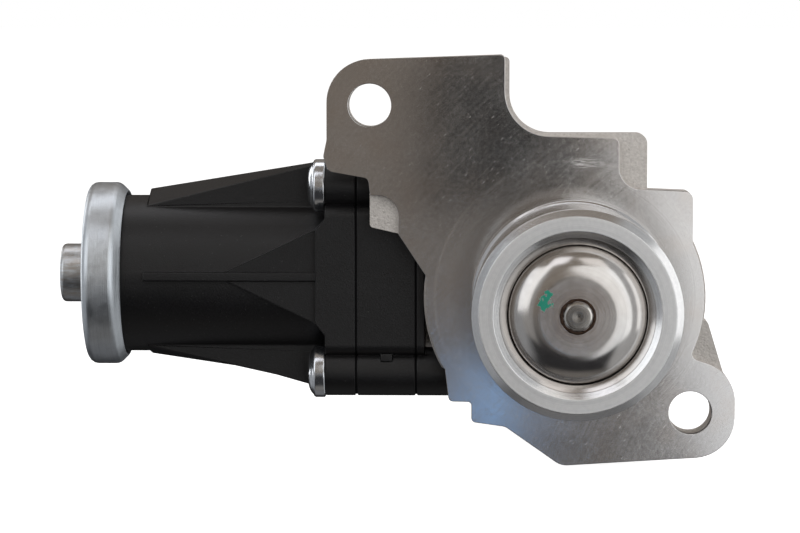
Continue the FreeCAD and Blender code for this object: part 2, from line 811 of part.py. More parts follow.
def gear(teeth, left, right, y, z, bore, first_tooth):
    """Spur gear about X with one tooth centred on the angle first_tooth, from +Y towards +Z."""
    pitch = gear_module * teeth / 2
    base = pitch * math.cos(math.radians(pressure_angle))
    tip = pitch + addendum_share * gear_module
    root = pitch - dedendum_share * gear_module
    at_pitch = math.tan(math.radians(pressure_angle)) - math.radians(pressure_angle)
    half_pitch = math.pi / (2 * teeth) - tooth_backlash / (2 * pitch)

    def half_angle(radius):
        lean = math.acos(min(1.0, base / radius))
        return half_pitch + at_pitch - (math.tan(lean) - lean)

    flank = [max(base, root), (max(base, root) + pitch) / 2, pitch, tip]
    points = []
    for tooth in range(teeth):
        centre = first_tooth + 2 * math.pi * tooth / teeth
        side = [(root, half_angle(flank[0]) * 1.05)] + [(radius, half_angle(radius)) for radius in flank]
        around = [(radius, centre - angle) for radius, angle in side]
        around += [(radius, centre + angle) for radius, angle in reversed(side)]
        points += [vec(left, y + radius * math.cos(a), z + radius * math.sin(a)) for radius, a in around]
    face = Part.Face(Part.makePolygon(points + points[:1]))
    return face.extrude(vec(right - left, 0, 0)).cut(along_x(bore, left - 1, right + 1, y, z))


# Gear train: motor pinion, compound intermediate gear and output gear.
to_intermediate = math.atan2(intermediate_z - motor_z, intermediate_y - motor_y)
to_output = math.atan2(-intermediate_z, output_y - intermediate_y)
pieces["motor_pinion"] = gear(pinion_teeth, large_gear_left - 0.3, large_gear_left + large_gear_width + 0.3,
                              motor_y, motor_z, motor_shaft_radius, to_intermediate)
large = gear(large_teeth, large_gear_left, small_gear_left, intermediate_y, intermediate_z,
             intermediate_axle_radius + shaft_clearance, to_intermediate + math.pi + math.pi / large_teeth)
small = gear(small_teeth, small_gear_left - 0.2, small_gear_left + small_gear_width, intermediate_y,
             intermediate_z, intermediate_axle_radius + shaft_clearance, to_output)
web_ring = tube_x(large_pitch - gear_rim, small_pitch + 1.6, large_gear_left - 1, large_gear_left + 1.1,
                  intermediate_y, intermediate_z)
pieces["intermediate_gear"] = join([large, small]).cut(web_ring)
output_gear = gear(output_teeth, output_gear_left, output_gear_right, output_y, 0, output_neck_radius,
                   to_output + math.pi + math.pi / output_teeth)
lightening = [tube_x(output_pitch - gear_rim, output_neck_radius + gear_hub_wall, output_gear_left - 1,
                     output_gear_left + 1.0, output_y, 0)]
hole_circle = (output_pitch - gear_rim + output_neck_radius + gear_hub_wall) / 2
for index in range(6):
    turn = math.radians(60 * index)
    lightening.append(along_x(lightening_hole_radius, output_gear_left - 1, output_gear_right + 1,
                              output_y + hole_circle * math.cos(turn), hole_circle * math.sin(turn)))
pieces["output_gear"] = output_gear.cut(lightening)
gap_in_clip = block((clip_x - 1, output_y, -clip_gap_half),
                    (output_gear_left + 1, output_y + 2 * output_neck_radius, clip_gap_half))
pieces["output_gear_clip"] = tube_x(output_neck_radius + 0.9, output_neck_radius - 0.4, clip_x,
                                    output_gear_left, output_y, 0).cut(gap_in_clip)
pieces["position_magnet"] = along_x(magnet_radius, output_left - magnet_width, output_left, output_y, 0)
floor_x = gear_housing_right - gear_floor
axle_left = large_gear_left - 1.4
pieces["intermediate_axle"] = join([
    along_x(intermediate_axle_radius, axle_left, gear_housing_right - 0.4, intermediate_y, intermediate_z),
])
pieces["intermediate_gear_clip"] = tube_x(intermediate_axle_radius + 1.4, intermediate_axle_radius,
                                          large_gear_left - 0.2 - clip_thickness, large_gear_left - 0.2,
                                          intermediate_y, intermediate_z)


def housing_slab(left, right, setback=0.0, boss_left=None):
    """One layer of the actuator: the common outline and its four screw bosses."""
    face = Part.Face(rounded_wire(housing_corners, lambda p: vec(left, p.x, p.y)))
    if setback:
        face = face.makeOffset2D(-setback)
    slab = face.extrude(vec(right - left, 0, 0))
    start = left if boss_left is None else boss_left
    bosses = [along_x(screw_boss_radius - setback, start, right, y, z) for y, z in screw_places]
    webs = [block((start, y - 3.0, min(z, 0)), (right, y + 3.0, max(z, 0))) for y, z in screw_places]
    return join([slab] + bosses + webs)


def housing_pocket(left, right, wall):
    face = Part.Face(rounded_wire(housing_corners, lambda p: vec(left, p.x, p.y)))
    return face.makeOffset2D(-wall).extrude(vec(right - left, 0, 0))


def screw_holes(left, right, clearance):
    return [along_x(screw_radius + clearance, left, right, y, z) for y, z in screw_places]


# Gear housing: an open tray whose floor carries the axle and lets the output shaft through.
tray = housing_slab(gear_housing_left, gear_housing_right)
tray = tray.cut(housing_pocket(gear_housing_left - 1, floor_x, housing_wall))
axle_post = along_x(intermediate_axle_radius + 1.8, small_gear_left + small_gear_width + 0.3, floor_x + 0.5,
                    intermediate_y, intermediate_z)
motor_tail_post = tube_x(motor_shaft_radius + 2.6, motor_shaft_radius + 0.6, floor_x - 1.4, floor_x,
                         motor_y, motor_z)
snap_tab_left = gear_housing_left + snap_tab_from_left
snap_tab = block((snap_tab_left, housing_front + 0.8, housing_bottom - snap_tab_height),
                 (snap_tab_left + snap_tab_length, housing_front + 0.8 + snap_tab_depth, housing_bottom + 0.5))
tray = join([tray, axle_post, motor_tail_post, snap_tab])
tray = tray.cut(screw_holes(gear_housing_left - 1, gear_housing_right + 1, screw_clearance)
                + [along_x(intermediate_axle_radius, axle_left, gear_housing_right - 0.4, intermediate_y,
                           intermediate_z),
                   along_x(output_shaft_radius + 1.2, floor_x - 1, gear_housing_right + 1, output_y, 0)])
pieces["gear_housing"] = tray

# Adapter plate with deep screw bosses towards the valve body.
adapter = housing_slab(adapter_left, adapter_right)
adapter = join([adapter] + [along_x(screw_boss_radius, adapter_left, adapter_boss_right, y, z)
                            for y, z in screw_places])
adapter_cuts = screw_holes(adapter_left - 1, adapter_boss_right + 1, screw_clearance)
adapter_cuts.append(along_x(output_shaft_radius + 1.2, adapter_left - 1, adapter_right + 1, output_y, 0))
for y, z in dowel_places:
    adapter_cuts.append(along_x(dowel_radius + 0.02, adapter_left - 1, adapter_boss_right + 1, y, z))
pieces["adapter_plate"] = adapter.cut(adapter_cuts)
dowels = [along_x(dowel_radius, adapter_left + 0.1, adapter_right + dowel_length / 2, y, z)
          for y, z in dowel_places]
pieces["locating_dowels"] = Part.makeCompound(dowels)

# Two gaskets, set back from the outside so that they show as dark joints.
for name, left, right in (("outer_gasket", motor_flange_right, gear_housing_left),
                          ("inner_gasket", gear_housing_right, adapter_left)):
    ring = housing_slab(left, right, gasket_setback)
    ring = ring.cut(housing_pocket(left - 1, right + 1, housing_wall))
    pieces[name] = ring.cut(screw_holes(left - 1, right + 1, screw_clearance))

# Motor housing: barrel, collar, flange, gussets, front rib and connector shell in one moulding.
barrel = along_x(barrel_outer_radius, cap_straight_end - 1, motor_flange_left, motor_y, motor_z)
collar_radius = cap_radius - cap_sheet - collar_clearance
collar_left = cap_face_x + cap_sheet
collar = turned_x([
    (collar_left, 0.0),
    (collar_left, collar_radius - 1.2),
    (collar_left + 1.2, collar_radius),
    (cap_straight_end - 0.2, collar_radius),
    (cap_straight_end + 1.2, barrel_outer_radius - 0.3),
    (cap_straight_end + 1.2, 0.0),
], motor_y, motor_z)
flange = housing_slab(motor_flange_left, motor_flange_right)
step_plate = plate_xz([
    (step_left, rib_z - plateau_half, 0.3),
    (step_left, rib_z + plateau_half, 0.3),
    (motor_flange_left + 0.4, rib_z + step_flare, 0.0),
    (motor_flange_left + 0.4, rib_z - step_flare, 0.0),
], housing_front, motor_y + barrel_outer_radius)
plateau = plate_xz([
    (plateau_tip_x, rib_z, 0.3),
    (motor_flange_left, rib_z + plateau_half + 1.0, 0.0),
    (motor_flange_left, rib_z - plateau_half - 1.0, 0.0),
], plateau_y, motor_y)
front_rib = block((gusset_start_x, front_rib_y, rib_z - front_rib_width / 2),
                  (motor_flange_left, motor_y, rib_z + front_rib_width / 2))
back_rib_corners = [
    vec(gusset_start_x, motor_y, rib_z - front_rib_width / 2),
    vec(motor_flange_left, motor_y, rib_z - front_rib_width / 2),
    vec(motor_flange_left, back_rib_end_y, rib_z - front_rib_width / 2),
    vec(gusset_start_x, motor_y + barrel_outer_radius + 1.0, rib_z - front_rib_width / 2),
]
back_rib = Part.Face(Part.makePolygon(back_rib_corners + back_rib_corners[:1]))
back_rib = back_rib.extrude(vec(0, 0, front_rib_width))


def gusset(sign, stations):
    """Corner gusset that grows from the round barrel to the square flange; sign 1 is the top one.

    Each station is its place along X, the reach of its front and back edges, and that of its ridge.
    """
    sections = []
    for x, edge, ridge in stations:
        shape = [(-gusset_half, 0), (-gusset_half, edge), (0, ridge), (gusset_half, edge), (gusset_half, 0)]
        points = [vec(x, motor_y + y, motor_z + sign * z) for y, z in shape]
        sections.append(Part.makePolygon(points + points[:1]))
    return Part.makeLoft(sections, True, True)


gusset_end_x = motor_flange_left + 0.2
top_gusset = gusset(1, [
    (gusset_start_x, gusset_start_edge, top_gusset_start),
    (gusset_end_x, top_gusset_end, top_gusset_end),
])
bottom_gusset = gusset(-1, [
    (gusset_start_x, gusset_start_edge, bottom_gusset_start),
    (gusset_kink_x, bottom_gusset_kink - 0.4, bottom_gusset_kink),
    (gusset_end_x, bottom_gusset_end, bottom_gusset_end),
])
connector_low = motor_flange_left - connector_length


def connector_wire(inset, x):
    half_y = connector_half_y - inset
    half_z = connector_half_z - inset
    corner = connector_corner - inset
    return rounded_wire([
        (connector_y - half_y, -half_z, corner),
        (connector_y + half_y, -half_z, corner),
        (connector_y + half_y, half_z, corner),
        (connector_y - half_y, half_z, corner),
    ], lambda p: vec(x, p.x, p.y))


shell = Part.Face(connector_wire(0.0, connector_low)).extrude(vec(connector_length + 1, 0, 0))
shell_rim = Part.Face(connector_wire(-0.9, connector_low + 4)).extrude(vec(2.0, 0, 0))
latch = block((connector_low + 3.0, connector_y + connector_half_y - 0.5, -2.5),
              (connector_low + 9.0, connector_y + connector_half_y + 1.6, 2.5))
housing = join([barrel, collar, flange, step_plate, plateau, front_rib, back_rib, top_gusset, bottom_gusset,
                shell, shell_rim, latch])
shell_floor = motor_flange_left - 4.0
seal_x = cap_face_x + 3.4
housing_cuts = screw_holes(motor_flange_left - 1, motor_flange_right + 1, screw_clearance)
housing_cuts += [
    along_x(screw_head_radius + 0.15, motor_flange_left - screw_head_height - 0.5, motor_flange_left, y, z)
    for y, z in screw_places]
housing_cuts += [
    along_x(barrel_inner_radius, collar_left - 1, motor_front_wall_left, motor_y, motor_z),
    along_x(motor_bearing_radius, motor_front_wall_left - 1, motor_front_wall_left + motor_bearing_width,
            motor_y, motor_z),
    along_x(motor_shaft_radius + 1.2, motor_front_wall_left, flange_recess_x + 1, motor_y, motor_z),
    housing_pocket(flange_recess_x, motor_flange_right + 1, housing_wall),
    Part.Face(connector_wire(connector_wall, connector_low - 1)).extrude(
        vec(shell_floor - connector_low + 1, 0, 0)),
    tube_x(collar_radius + 1, collar_radius - seal_section, seal_x, seal_x + seal_section + 0.2,
           motor_y, motor_z),
]
pin_span = terminal_pitch * (terminal_count - 1)
terminal_places = [terminal_pitch * index - pin_span / 2 for index in range(terminal_count)]
terminal_low = shell_floor - terminal_reach
terminal_high = flange_recess_x + board_thickness + 0.2
for z in terminal_places:
    housing_cuts.append(block(
        (shell_floor - 1, connector_y - terminal_thickness / 2, z - terminal_width / 2),
        (flange_recess_x + 1, connector_y + terminal_thickness / 2, z + terminal_width / 2)))
pieces["motor_housing"] = housing.cut(housing_cuts).removeSplitter()
terminals = [block((terminal_low, connector_y - terminal_thickness / 2, z - terminal_width / 2),
                   (terminal_high, connector_y + terminal_thickness / 2, z + terminal_width / 2))
             for z in terminal_places]
pieces["connector_terminals"] = Part.makeCompound(terminals)

# Housing screws: washer-faced heads against the motor flange, threads in the valve body.
head_left = motor_flange_left - screw_head_height
disc_left = motor_flange_left - screw_disc_thickness
screws = []
for y, z in screw_places:
    screws.append(turned_x([
        (head_left, 0.0),
        (head_left, screw_head_radius - 2.6),
        (head_left + 0.4, screw_head_radius - 1.4),
        (disc_left - 0.2, screw_head_radius - 0.6),
        (disc_left, screw_head_radius - 0.3),
        (disc_left + 0.3, screw_head_radius),
        (motor_flange_left - 0.3, screw_head_radius),
        (motor_flange_left, screw_head_radius - 0.3),
        (motor_flange_left, screw_radius),
        (screw_tip_x - 1.0, screw_radius),
        (screw_tip_x, screw_radius - 0.8),
        (screw_tip_x, 0.0),
    ], y, z))
socket = along_x(screw_socket_radius, head_left - 1, head_left + screw_socket_depth)
for index, (y, z) in enumerate(screw_places):
    hole = socket.copy()
    hole.translate(vec(0, y, z))
    screws[index] = screws[index].cut(hole)
pieces["housing_screws"] = Part.makeCompound(screws)

# End cap: a pressed sheet-steel cup with a bearing boss, its lip curled in behind the collar.
outer_cap = [
    (cap_boss_x, 0.0),
    (cap_boss_x, cap_boss_radius - cap_boss_corner),
    (cap_boss_x + 0.3, cap_boss_radius - 0.3),
    (cap_boss_x + cap_boss_corner, cap_boss_radius),
    (cap_face_x - 0.5, cap_boss_radius),
    (cap_face_x, cap_boss_radius + 0.5),
    (cap_face_x, cap_radius - cap_corner),
    (cap_face_x + 0.48, cap_radius - 0.48),
    (cap_face_x + cap_corner, cap_radius),
    (cap_straight_end, cap_radius),
    (cap_straight_end + 0.9, cap_radius - 0.6),
    (cap_lip_x, cap_lip_radius + 0.3),
    (cap_lip_x, cap_lip_radius - 0.4),
]
inner_cap = [
    (cap_lip_x - 0.6, cap_lip_radius - 0.4),
    (cap_straight_end, cap_radius - cap_sheet),
    (cap_face_x + cap_sheet + 1.2, cap_radius - cap_sheet),
    (cap_face_x + cap_sheet, cap_radius - cap_sheet - 1.2),
    (cap_face_x + cap_sheet, motor_bearing_radius + 0.4),
    (cap_face_x + cap_sheet - 0.4, motor_bearing_radius),
    (cap_boss_x + cap_sheet, motor_bearing_radius),
    (cap_boss_x + cap_sheet, 0.0),
]
pieces["motor_end_cap"] = turned_x(outer_cap + inner_cap, motor_y, motor_z)
pieces["end_cap_seal"] = tube_x(collar_radius + 0.05, collar_radius - seal_section, seal_x,
                                seal_x + seal_section, motor_y, motor_z)

# Motor: steel can, magnets, rotor, commutator, brushes and bearings.
pieces["flux_can"] = tube_x(barrel_inner_radius, barrel_inner_radius - can_wall, can_left, can_right,
                            motor_y, motor_z)
magnet_ring = tube_x(barrel_inner_radius - can_wall, magnet_inner_radius, rotor_left - 1,
                     rotor_left + rotor_length + 1, motor_y, motor_z)
magnet_gap = block((rotor_left - 2, motor_y - magnet_gap_half, motor_z - barrel_inner_radius),
                   (rotor_left + rotor_length + 2, motor_y + magnet_gap_half, motor_z + barrel_inner_radius))
pieces["motor_magnets"] = magnet_ring.cut(magnet_gap)
shaft_start = cap_boss_x + cap_sheet + 0.6
shaft_end = large_gear_left + large_gear_width + 0.8
pieces["motor_shaft"] = along_x(motor_shaft_radius, shaft_start, shaft_end, motor_y, motor_z)
core = along_x(rotor_radius, rotor_left, rotor_right, motor_y, motor_z)
slot_count = 5
slots = []
for index in range(slot_count):
    slot = block((rotor_left - 1, rotor_radius - 4.2, -0.8), (rotor_right + 1, rotor_radius + 1, 0.8))
    slot.rotate(vec(0, 0, 0), vec(1, 0, 0), 360 * index / slot_count)
    slot.translate(vec(0, motor_y, motor_z))
    slots.append(slot)
core = core.cut(slots + [along_x(motor_shaft_radius, rotor_left - 1, rotor_right + 1, motor_y, motor_z)])
pieces["rotor_core"] = core
windings = [tube_x(winding_radius, motor_shaft_radius + 1.0, rotor_left - winding_length, rotor_left,
                   motor_y, motor_z),
            tube_x(winding_radius, motor_shaft_radius + 1.0, rotor_right, rotor_right + winding_length,
                   motor_y, motor_z)]
pieces["rotor_windings"] = Part.makeCompound(windings)
pieces["commutator"] = tube_x(commutator_radius, motor_shaft_radius, commutator_left,
                              motor_front_wall_left - commutator_gap, motor_y, motor_z)
brush_left = can_right + 0.2
pieces["brush_plate"] = tube_x(barrel_inner_radius, commutator_radius + 0.6, brush_left,
                               motor_front_wall_left, motor_y, motor_z)
brush_gap = commutator_radius + 0.1
brush_reach = brush_gap + brush_length
brushes = [block((commutator_left + 0.5, motor_y - brush_half_width, motor_z + brush_gap),
                 (brush_left, motor_y + brush_half_width, motor_z + brush_reach)),
           block((commutator_left + 0.5, motor_y - brush_half_width, motor_z - brush_reach),
                 (brush_left, motor_y + brush_half_width, motor_z - brush_gap))]
pieces["carbon_brushes"] = Part.makeCompound(brushes)
leaf_thickness = 0.5
leaf_half_width = 0.8
pieces["brush_springs"] = Part.makeCompound([
    block((commutator_left + 0.8, motor_y - leaf_half_width, motor_z + brush_reach),
          (brush_left, motor_y + leaf_half_width, motor_z + brush_reach + leaf_thickness)),
    block((commutator_left + 0.8, motor_y - leaf_half_width, motor_z - brush_reach - leaf_thickness),
          (brush_left, motor_y + leaf_half_width, motor_z - brush_reach)),
])
bearing_bore = motor_shaft_radius + shaft_clearance
rear_bearing_left = cap_boss_x + cap_sheet + 0.9
rear_bearing_right = rear_bearing_left + motor_bearing_width
pieces["rear_motor_bearing"] = tube_x(motor_bearing_radius, bearing_bore, rear_bearing_left,
                                      rear_bearing_right, motor_y, motor_z)
pieces["front_motor_bearing"] = tube_x(motor_bearing_radius, bearing_bore, motor_front_wall_left,
                                       motor_front_wall_left + motor_bearing_width, motor_y, motor_z)
washer_left = rear_bearing_right + 0.3
pieces["thrust_washer"] = tube_x(motor_shaft_radius + 2.2, bearing_bore, washer_left, washer_left + 0.8,
                                 motor_y, motor_z)

# Position sensor and wiring inside the motor flange.
board_left = flange_recess_x
board_right = board_left + board_thickness
board = block((board_left, board_front, -board_half), (board_right, board_back, board_half))
board_holes = [block((board_left - 1, connector_y - 0.6, z - terminal_width / 2 - 0.2),
                     (board_left + 2, connector_y + 0.6, z + terminal_width / 2 + 0.2))
               for z in terminal_places]
pieces["sensor_board"] = board.cut(board_holes)
pieces["position_sensor"] = block((board_right, output_y - sensor_half, -sensor_half),
                                  (board_right + sensor_thickness, output_y + sensor_half, sensor_half))
busbars = []
for middle in (motor_z - busbar_offset, motor_z + busbar_offset):
    busbars.append(block((board_left, motor_y + busbar_inset, middle - busbar_width / 2),
                         (board_left + busbar_thickness, board_front, middle + busbar_width / 2)))
pieces["motor_busbars"] = Part.makeCompound(busbars)

# Rear cover of the cam chamber with its gasket and screws.
cover_front = cam_space_back + rear_gasket_thickness
cover_back = cover_front + rear_cover_thickness


def cover_plate(front, back, grow):
    plate = plate_xz([
        (cam_box_left - grow, -cam_box_half - grow, 4.0),
        (cam_box_right + grow, -cam_box_half - grow, 6.0),
        (cam_box_right + grow, cam_box_half + grow, 6.0),
        (cam_box_left - grow, cam_box_half + grow, 4.0),
    ], front, back)
    ears = [along_y(cover_screw_radius + 2.4 + grow, front, back, x, z) for x, z in cover_screws]
    return join([plate] + ears)


cover_holes = [along_y(cover_screw_radius + 0.2, cam_space_back - 1, cover_back + 1, x, z)
               for x, z in cover_screws]
gasket_window = block((cam_space_left, cam_space_back - 1, -cam_space_half_height),
                      (cam_space_right, cover_front + 1, cam_space_half_height))
pieces["rear_cover_gasket"] = cover_plate(cam_space_back, cover_front, -0.3).cut(cover_holes + [gasket_window])
cover = cover_plate(cover_front, cover_back, 0.0)
dish = plate_xz([
    (cam_space_left + 1, -cam_space_half_height + 3, 3.0),
    (cam_space_right - 1, -cam_space_half_height + 3, 3.0),
    (cam_space_right - 1, cam_space_half_height - 3, 3.0),
    (cam_space_left + 1, cam_space_half_height - 3, 3.0),
], cover_back - 0.5, cover_back + 1.2)
pieces["rear_cover"] = join([cover, dish]).cut(cover_holes)
cover_heads = []
for x, z in cover_screws:
    cover_heads.append(turned_y([
        (cover_back, 0.0),
        (cover_back, cover_screw_radius + 1.8),
        (cover_back + 1.6, cover_screw_radius + 1.6),
        (cover_back + 2.4, cover_screw_radius + 0.6),
        (cover_back + 2.4, 0.0),
    ], x, z).fuse(along_y(cover_screw_radius, cam_space_back - cover_screw_depth, cover_back, x, z))
        .cut(along_y(1.3, cover_back + 1.0, cover_back + 3.0, x, z)).removeSplitter())
pieces["rear_cover_screws"] = Part.makeCompound(cover_heads)

os.makedirs("parts", exist_ok=True)
for name, shape in pieces.items():
    shape.exportStep("parts/" + name + ".step")
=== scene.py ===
import bpy
import json
import math
import random
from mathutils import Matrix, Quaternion, Vector

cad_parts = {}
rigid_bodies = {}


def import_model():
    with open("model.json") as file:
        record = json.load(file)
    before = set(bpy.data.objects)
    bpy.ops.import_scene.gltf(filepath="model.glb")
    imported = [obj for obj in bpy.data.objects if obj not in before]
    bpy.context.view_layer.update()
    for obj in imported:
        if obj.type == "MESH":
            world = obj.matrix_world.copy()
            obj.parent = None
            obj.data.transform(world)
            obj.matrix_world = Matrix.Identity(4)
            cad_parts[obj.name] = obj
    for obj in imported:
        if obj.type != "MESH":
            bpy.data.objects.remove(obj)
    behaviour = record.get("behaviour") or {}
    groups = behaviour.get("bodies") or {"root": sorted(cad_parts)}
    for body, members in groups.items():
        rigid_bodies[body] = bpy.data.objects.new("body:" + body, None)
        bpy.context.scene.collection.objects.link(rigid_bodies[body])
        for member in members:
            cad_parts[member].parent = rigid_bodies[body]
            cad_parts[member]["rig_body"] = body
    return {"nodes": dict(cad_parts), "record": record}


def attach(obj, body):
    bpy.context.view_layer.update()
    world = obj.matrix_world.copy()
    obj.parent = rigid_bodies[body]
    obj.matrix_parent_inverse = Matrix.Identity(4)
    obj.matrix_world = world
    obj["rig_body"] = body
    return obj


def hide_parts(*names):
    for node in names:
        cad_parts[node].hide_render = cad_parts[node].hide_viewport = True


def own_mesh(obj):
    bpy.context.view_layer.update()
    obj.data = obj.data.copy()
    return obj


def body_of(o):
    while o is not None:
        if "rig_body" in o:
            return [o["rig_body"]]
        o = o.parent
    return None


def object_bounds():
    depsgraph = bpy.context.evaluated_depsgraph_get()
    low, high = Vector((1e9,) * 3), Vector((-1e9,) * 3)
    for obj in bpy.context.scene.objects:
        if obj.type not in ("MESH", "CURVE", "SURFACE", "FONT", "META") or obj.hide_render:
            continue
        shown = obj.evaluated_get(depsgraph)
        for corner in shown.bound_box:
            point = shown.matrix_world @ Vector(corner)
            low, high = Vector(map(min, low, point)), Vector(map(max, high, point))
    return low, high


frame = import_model()
nodes = frame["nodes"]
cad_low, cad_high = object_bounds()
bpy.ops.object.select_all(action="DESELECT")
random.seed(7)
mm = 0.001

# Valve body: one aluminium casting with a milled flange face and a turned spigot. It carries all the rest.
# The casting skin stays rough on the sides, behind the flange and on three low pads beside the milled face.
# Tool marks run across the milled face, and round the axis on the spigot and on the ring at its root.


class Tone:
    """A socket of a material's node. Arithmetic on it adds the Math nodes that work it out."""

    def __init__(self, socket):
        self.socket = socket

    def node(self, kind, settings=None, inputs=None, output=0):
        """Adds a node with its settings, then the values or links of its inputs, and gives one output."""
        tree = self.socket.id_data
        made = tree.nodes.new(kind)
        for name, value in (settings or {}).items():
            setattr(made, name, value)
        for name, value in (inputs or {}).items():
            if isinstance(value, Tone):
                tree.links.new(value.socket, made.inputs[name])
            else:
                made.inputs[name].default_value = value
        return Tone(made.outputs[output])

    def math(self, operation, *others):
        return self.node("ShaderNodeMath", {"operation": operation}, dict(enumerate((self,) + others)))

    def __add__(self, other):
        return self.math("ADD", other)

    __radd__ = __add__

    def __sub__(self, other):
        return self.math("SUBTRACT", other)

    def __rsub__(self, other):
        return self.node("ShaderNodeMath", {"operation": "SUBTRACT"}, {0: other, 1: self})

    def __mul__(self, other):
        return self.math("MULTIPLY", other)

    __rmul__ = __mul__

    def __lt__(self, other):
        return self.math("LESS_THAN", other)

    def __gt__(self, other):
        return self.math("GREATER_THAN", other)


def axes(place):
    """The three coordinates of a place, in millimetres."""
    return [place.node("ShaderNodeSeparateXYZ", None, {0: place}, output) * (1 / mm) for output in range(3)]


def point(x, y, z):
    tone = next(value for value in (x, y, z) if isinstance(value, Tone))
    return tone.node("ShaderNodeCombineXYZ", None, {0: x, 1: y, 2: z})


def distance(one, two):
    """How far two coordinates lie from the axis between them."""
    return (one * one + two * two).math("SQRT")


def ramp(value, low, high):
    """0 up to the low value, 1 from the high one, and evenly between."""
    limits = {"Value": value, "From Min": low, "From Max": high}
    return value.node("ShaderNodeMapRange", {"clamp": True}, limits)


def grain(spot, size, detail=2.0, contrast=1.0):
    """Noise from 0 to 1 whose marks are about that many millimetres across. The spot is in millimetres."""
    noise = spot.node("ShaderNodeTexNoise", None, {"Vector": spot, "Scale": 1 / size, "Detail": detail})
    return noise if contrast == 1.0 else ramp(noise, 0.5 - 0.5 / contrast, 0.5 + 0.5 / contrast)


def blend(share, one, two):
    """Colour one where share is 0 and colour two where it is 1."""
    colour = [value if isinstance(value, Tone) else (*value, 1.0) for value in (one, two)]
    return share.node("ShaderNodeMix", {"data_type": "RGBA"}, {0: share, 6: colour[0], 7: colour[1]}, 2)


def choose(share, one, two):
    """Number one where share is 0 and number two where it is 1."""
    return one + share * (two - one)


def relief(height, depth, under=None):
    """Surface normal of a pattern that is so many millimetres deep, laid over the one under it."""
    inputs = {"Height": height, "Distance": depth * mm, "Strength": 1.0}
    if under is not None:
        inputs["Normal"] = under
    return height.node("ShaderNodeBump", None, inputs)


def finish_of(name, look, metallic=1.0, **plain):
    """A material of one Principled shader. The look gives its sockets from a place in millimetres."""
    material = bpy.data.materials.new(name)
    material.use_nodes = True
    tree = material.node_tree
    shader = tree.nodes["Principled BSDF"]
    shader.inputs["Metallic"].default_value = metallic
    for socket, value in plain.items():
        shader.inputs[socket.replace("_", " ").title().replace("Ior", "IOR")].default_value = value
    x, y, z = axes(Tone(tree.nodes.new("ShaderNodeTexCoord").outputs["Object"]))
    for socket, value in look(x, y, z).items():
        socket = socket.replace("_", " ").title()
        if isinstance(value, Tone):
            tree.links.new(value.socket, shader.inputs[socket])
        else:
            shader.inputs[socket].default_value = (*value, 1.0) if socket == "Base Color" else value
    return material


def dress(piece, material):
    """Gives a piece its material."""
    piece.data.materials.clear()
    piece.data.materials.append(material)


def start(piece):
    """Makes the piece the only one selected."""
    bpy.ops.object.select_all(action="DESELECT")
    bpy.context.view_layer.objects.active = piece
    piece.select_set(True)


def fixed_on(piece, *stood_for):
    """The piece rides on the body of the parts that it stands for."""
    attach(piece, body_of(nodes[stood_for[0]])[0])
    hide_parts(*stood_for)


def soften(piece, edge=0.0, angle=32):
    """Rounds the edges past the angle by so many millimetres and keeps flat faces flat in the shading."""
    start(piece)
    if edge:
        rounding = piece.modifiers.new("edges", "BEVEL")
        rounding.width = edge * mm
        rounding.segments = 2
        rounding.limit_method = "ANGLE"
        rounding.angle_limit = math.radians(angle)
        rounding.use_clamp_overlap = False
        bpy.ops.object.modifier_apply(modifier=rounding.name)
    bpy.ops.object.shade_smooth_by_angle(angle=math.radians(angle + 6))
    weights = piece.modifiers.new("shading", "WEIGHTED_NORMAL")
    weights.keep_sharp = True
    weights.weight = 50
    bpy.ops.object.modifier_apply(modifier=weights.name)


def moulding(node, name, edge):
    """A copy of a part as made, with its points merged and its edges rounded."""
    piece = bpy.data.objects.new(name, nodes[node].data.copy())
    bpy.context.scene.collection.objects.link(piece)
    start(piece)
    bpy.ops.mesh.customdata_custom_splitnormals_clear()
    bpy.ops.object.mode_set(mode="EDIT")
    bpy.ops.mesh.select_all(action="SELECT")
    bpy.ops.mesh.remove_doubles(threshold=0.000002)
    bpy.ops.mesh.dissolve_limited(angle_limit=math.radians(0.5))
    bpy.ops.object.mode_set(mode="OBJECT")
    soften(piece, edge)
    fixed_on(piece, node)
    return piece


body = moulding("valve_body", "body_casting", 0.12)
spigot_reach = 22.0
spigot_front = -38.85
mouth_radius = 16.6
stem_barrel_radius = 14.7
root_ring = 28.8


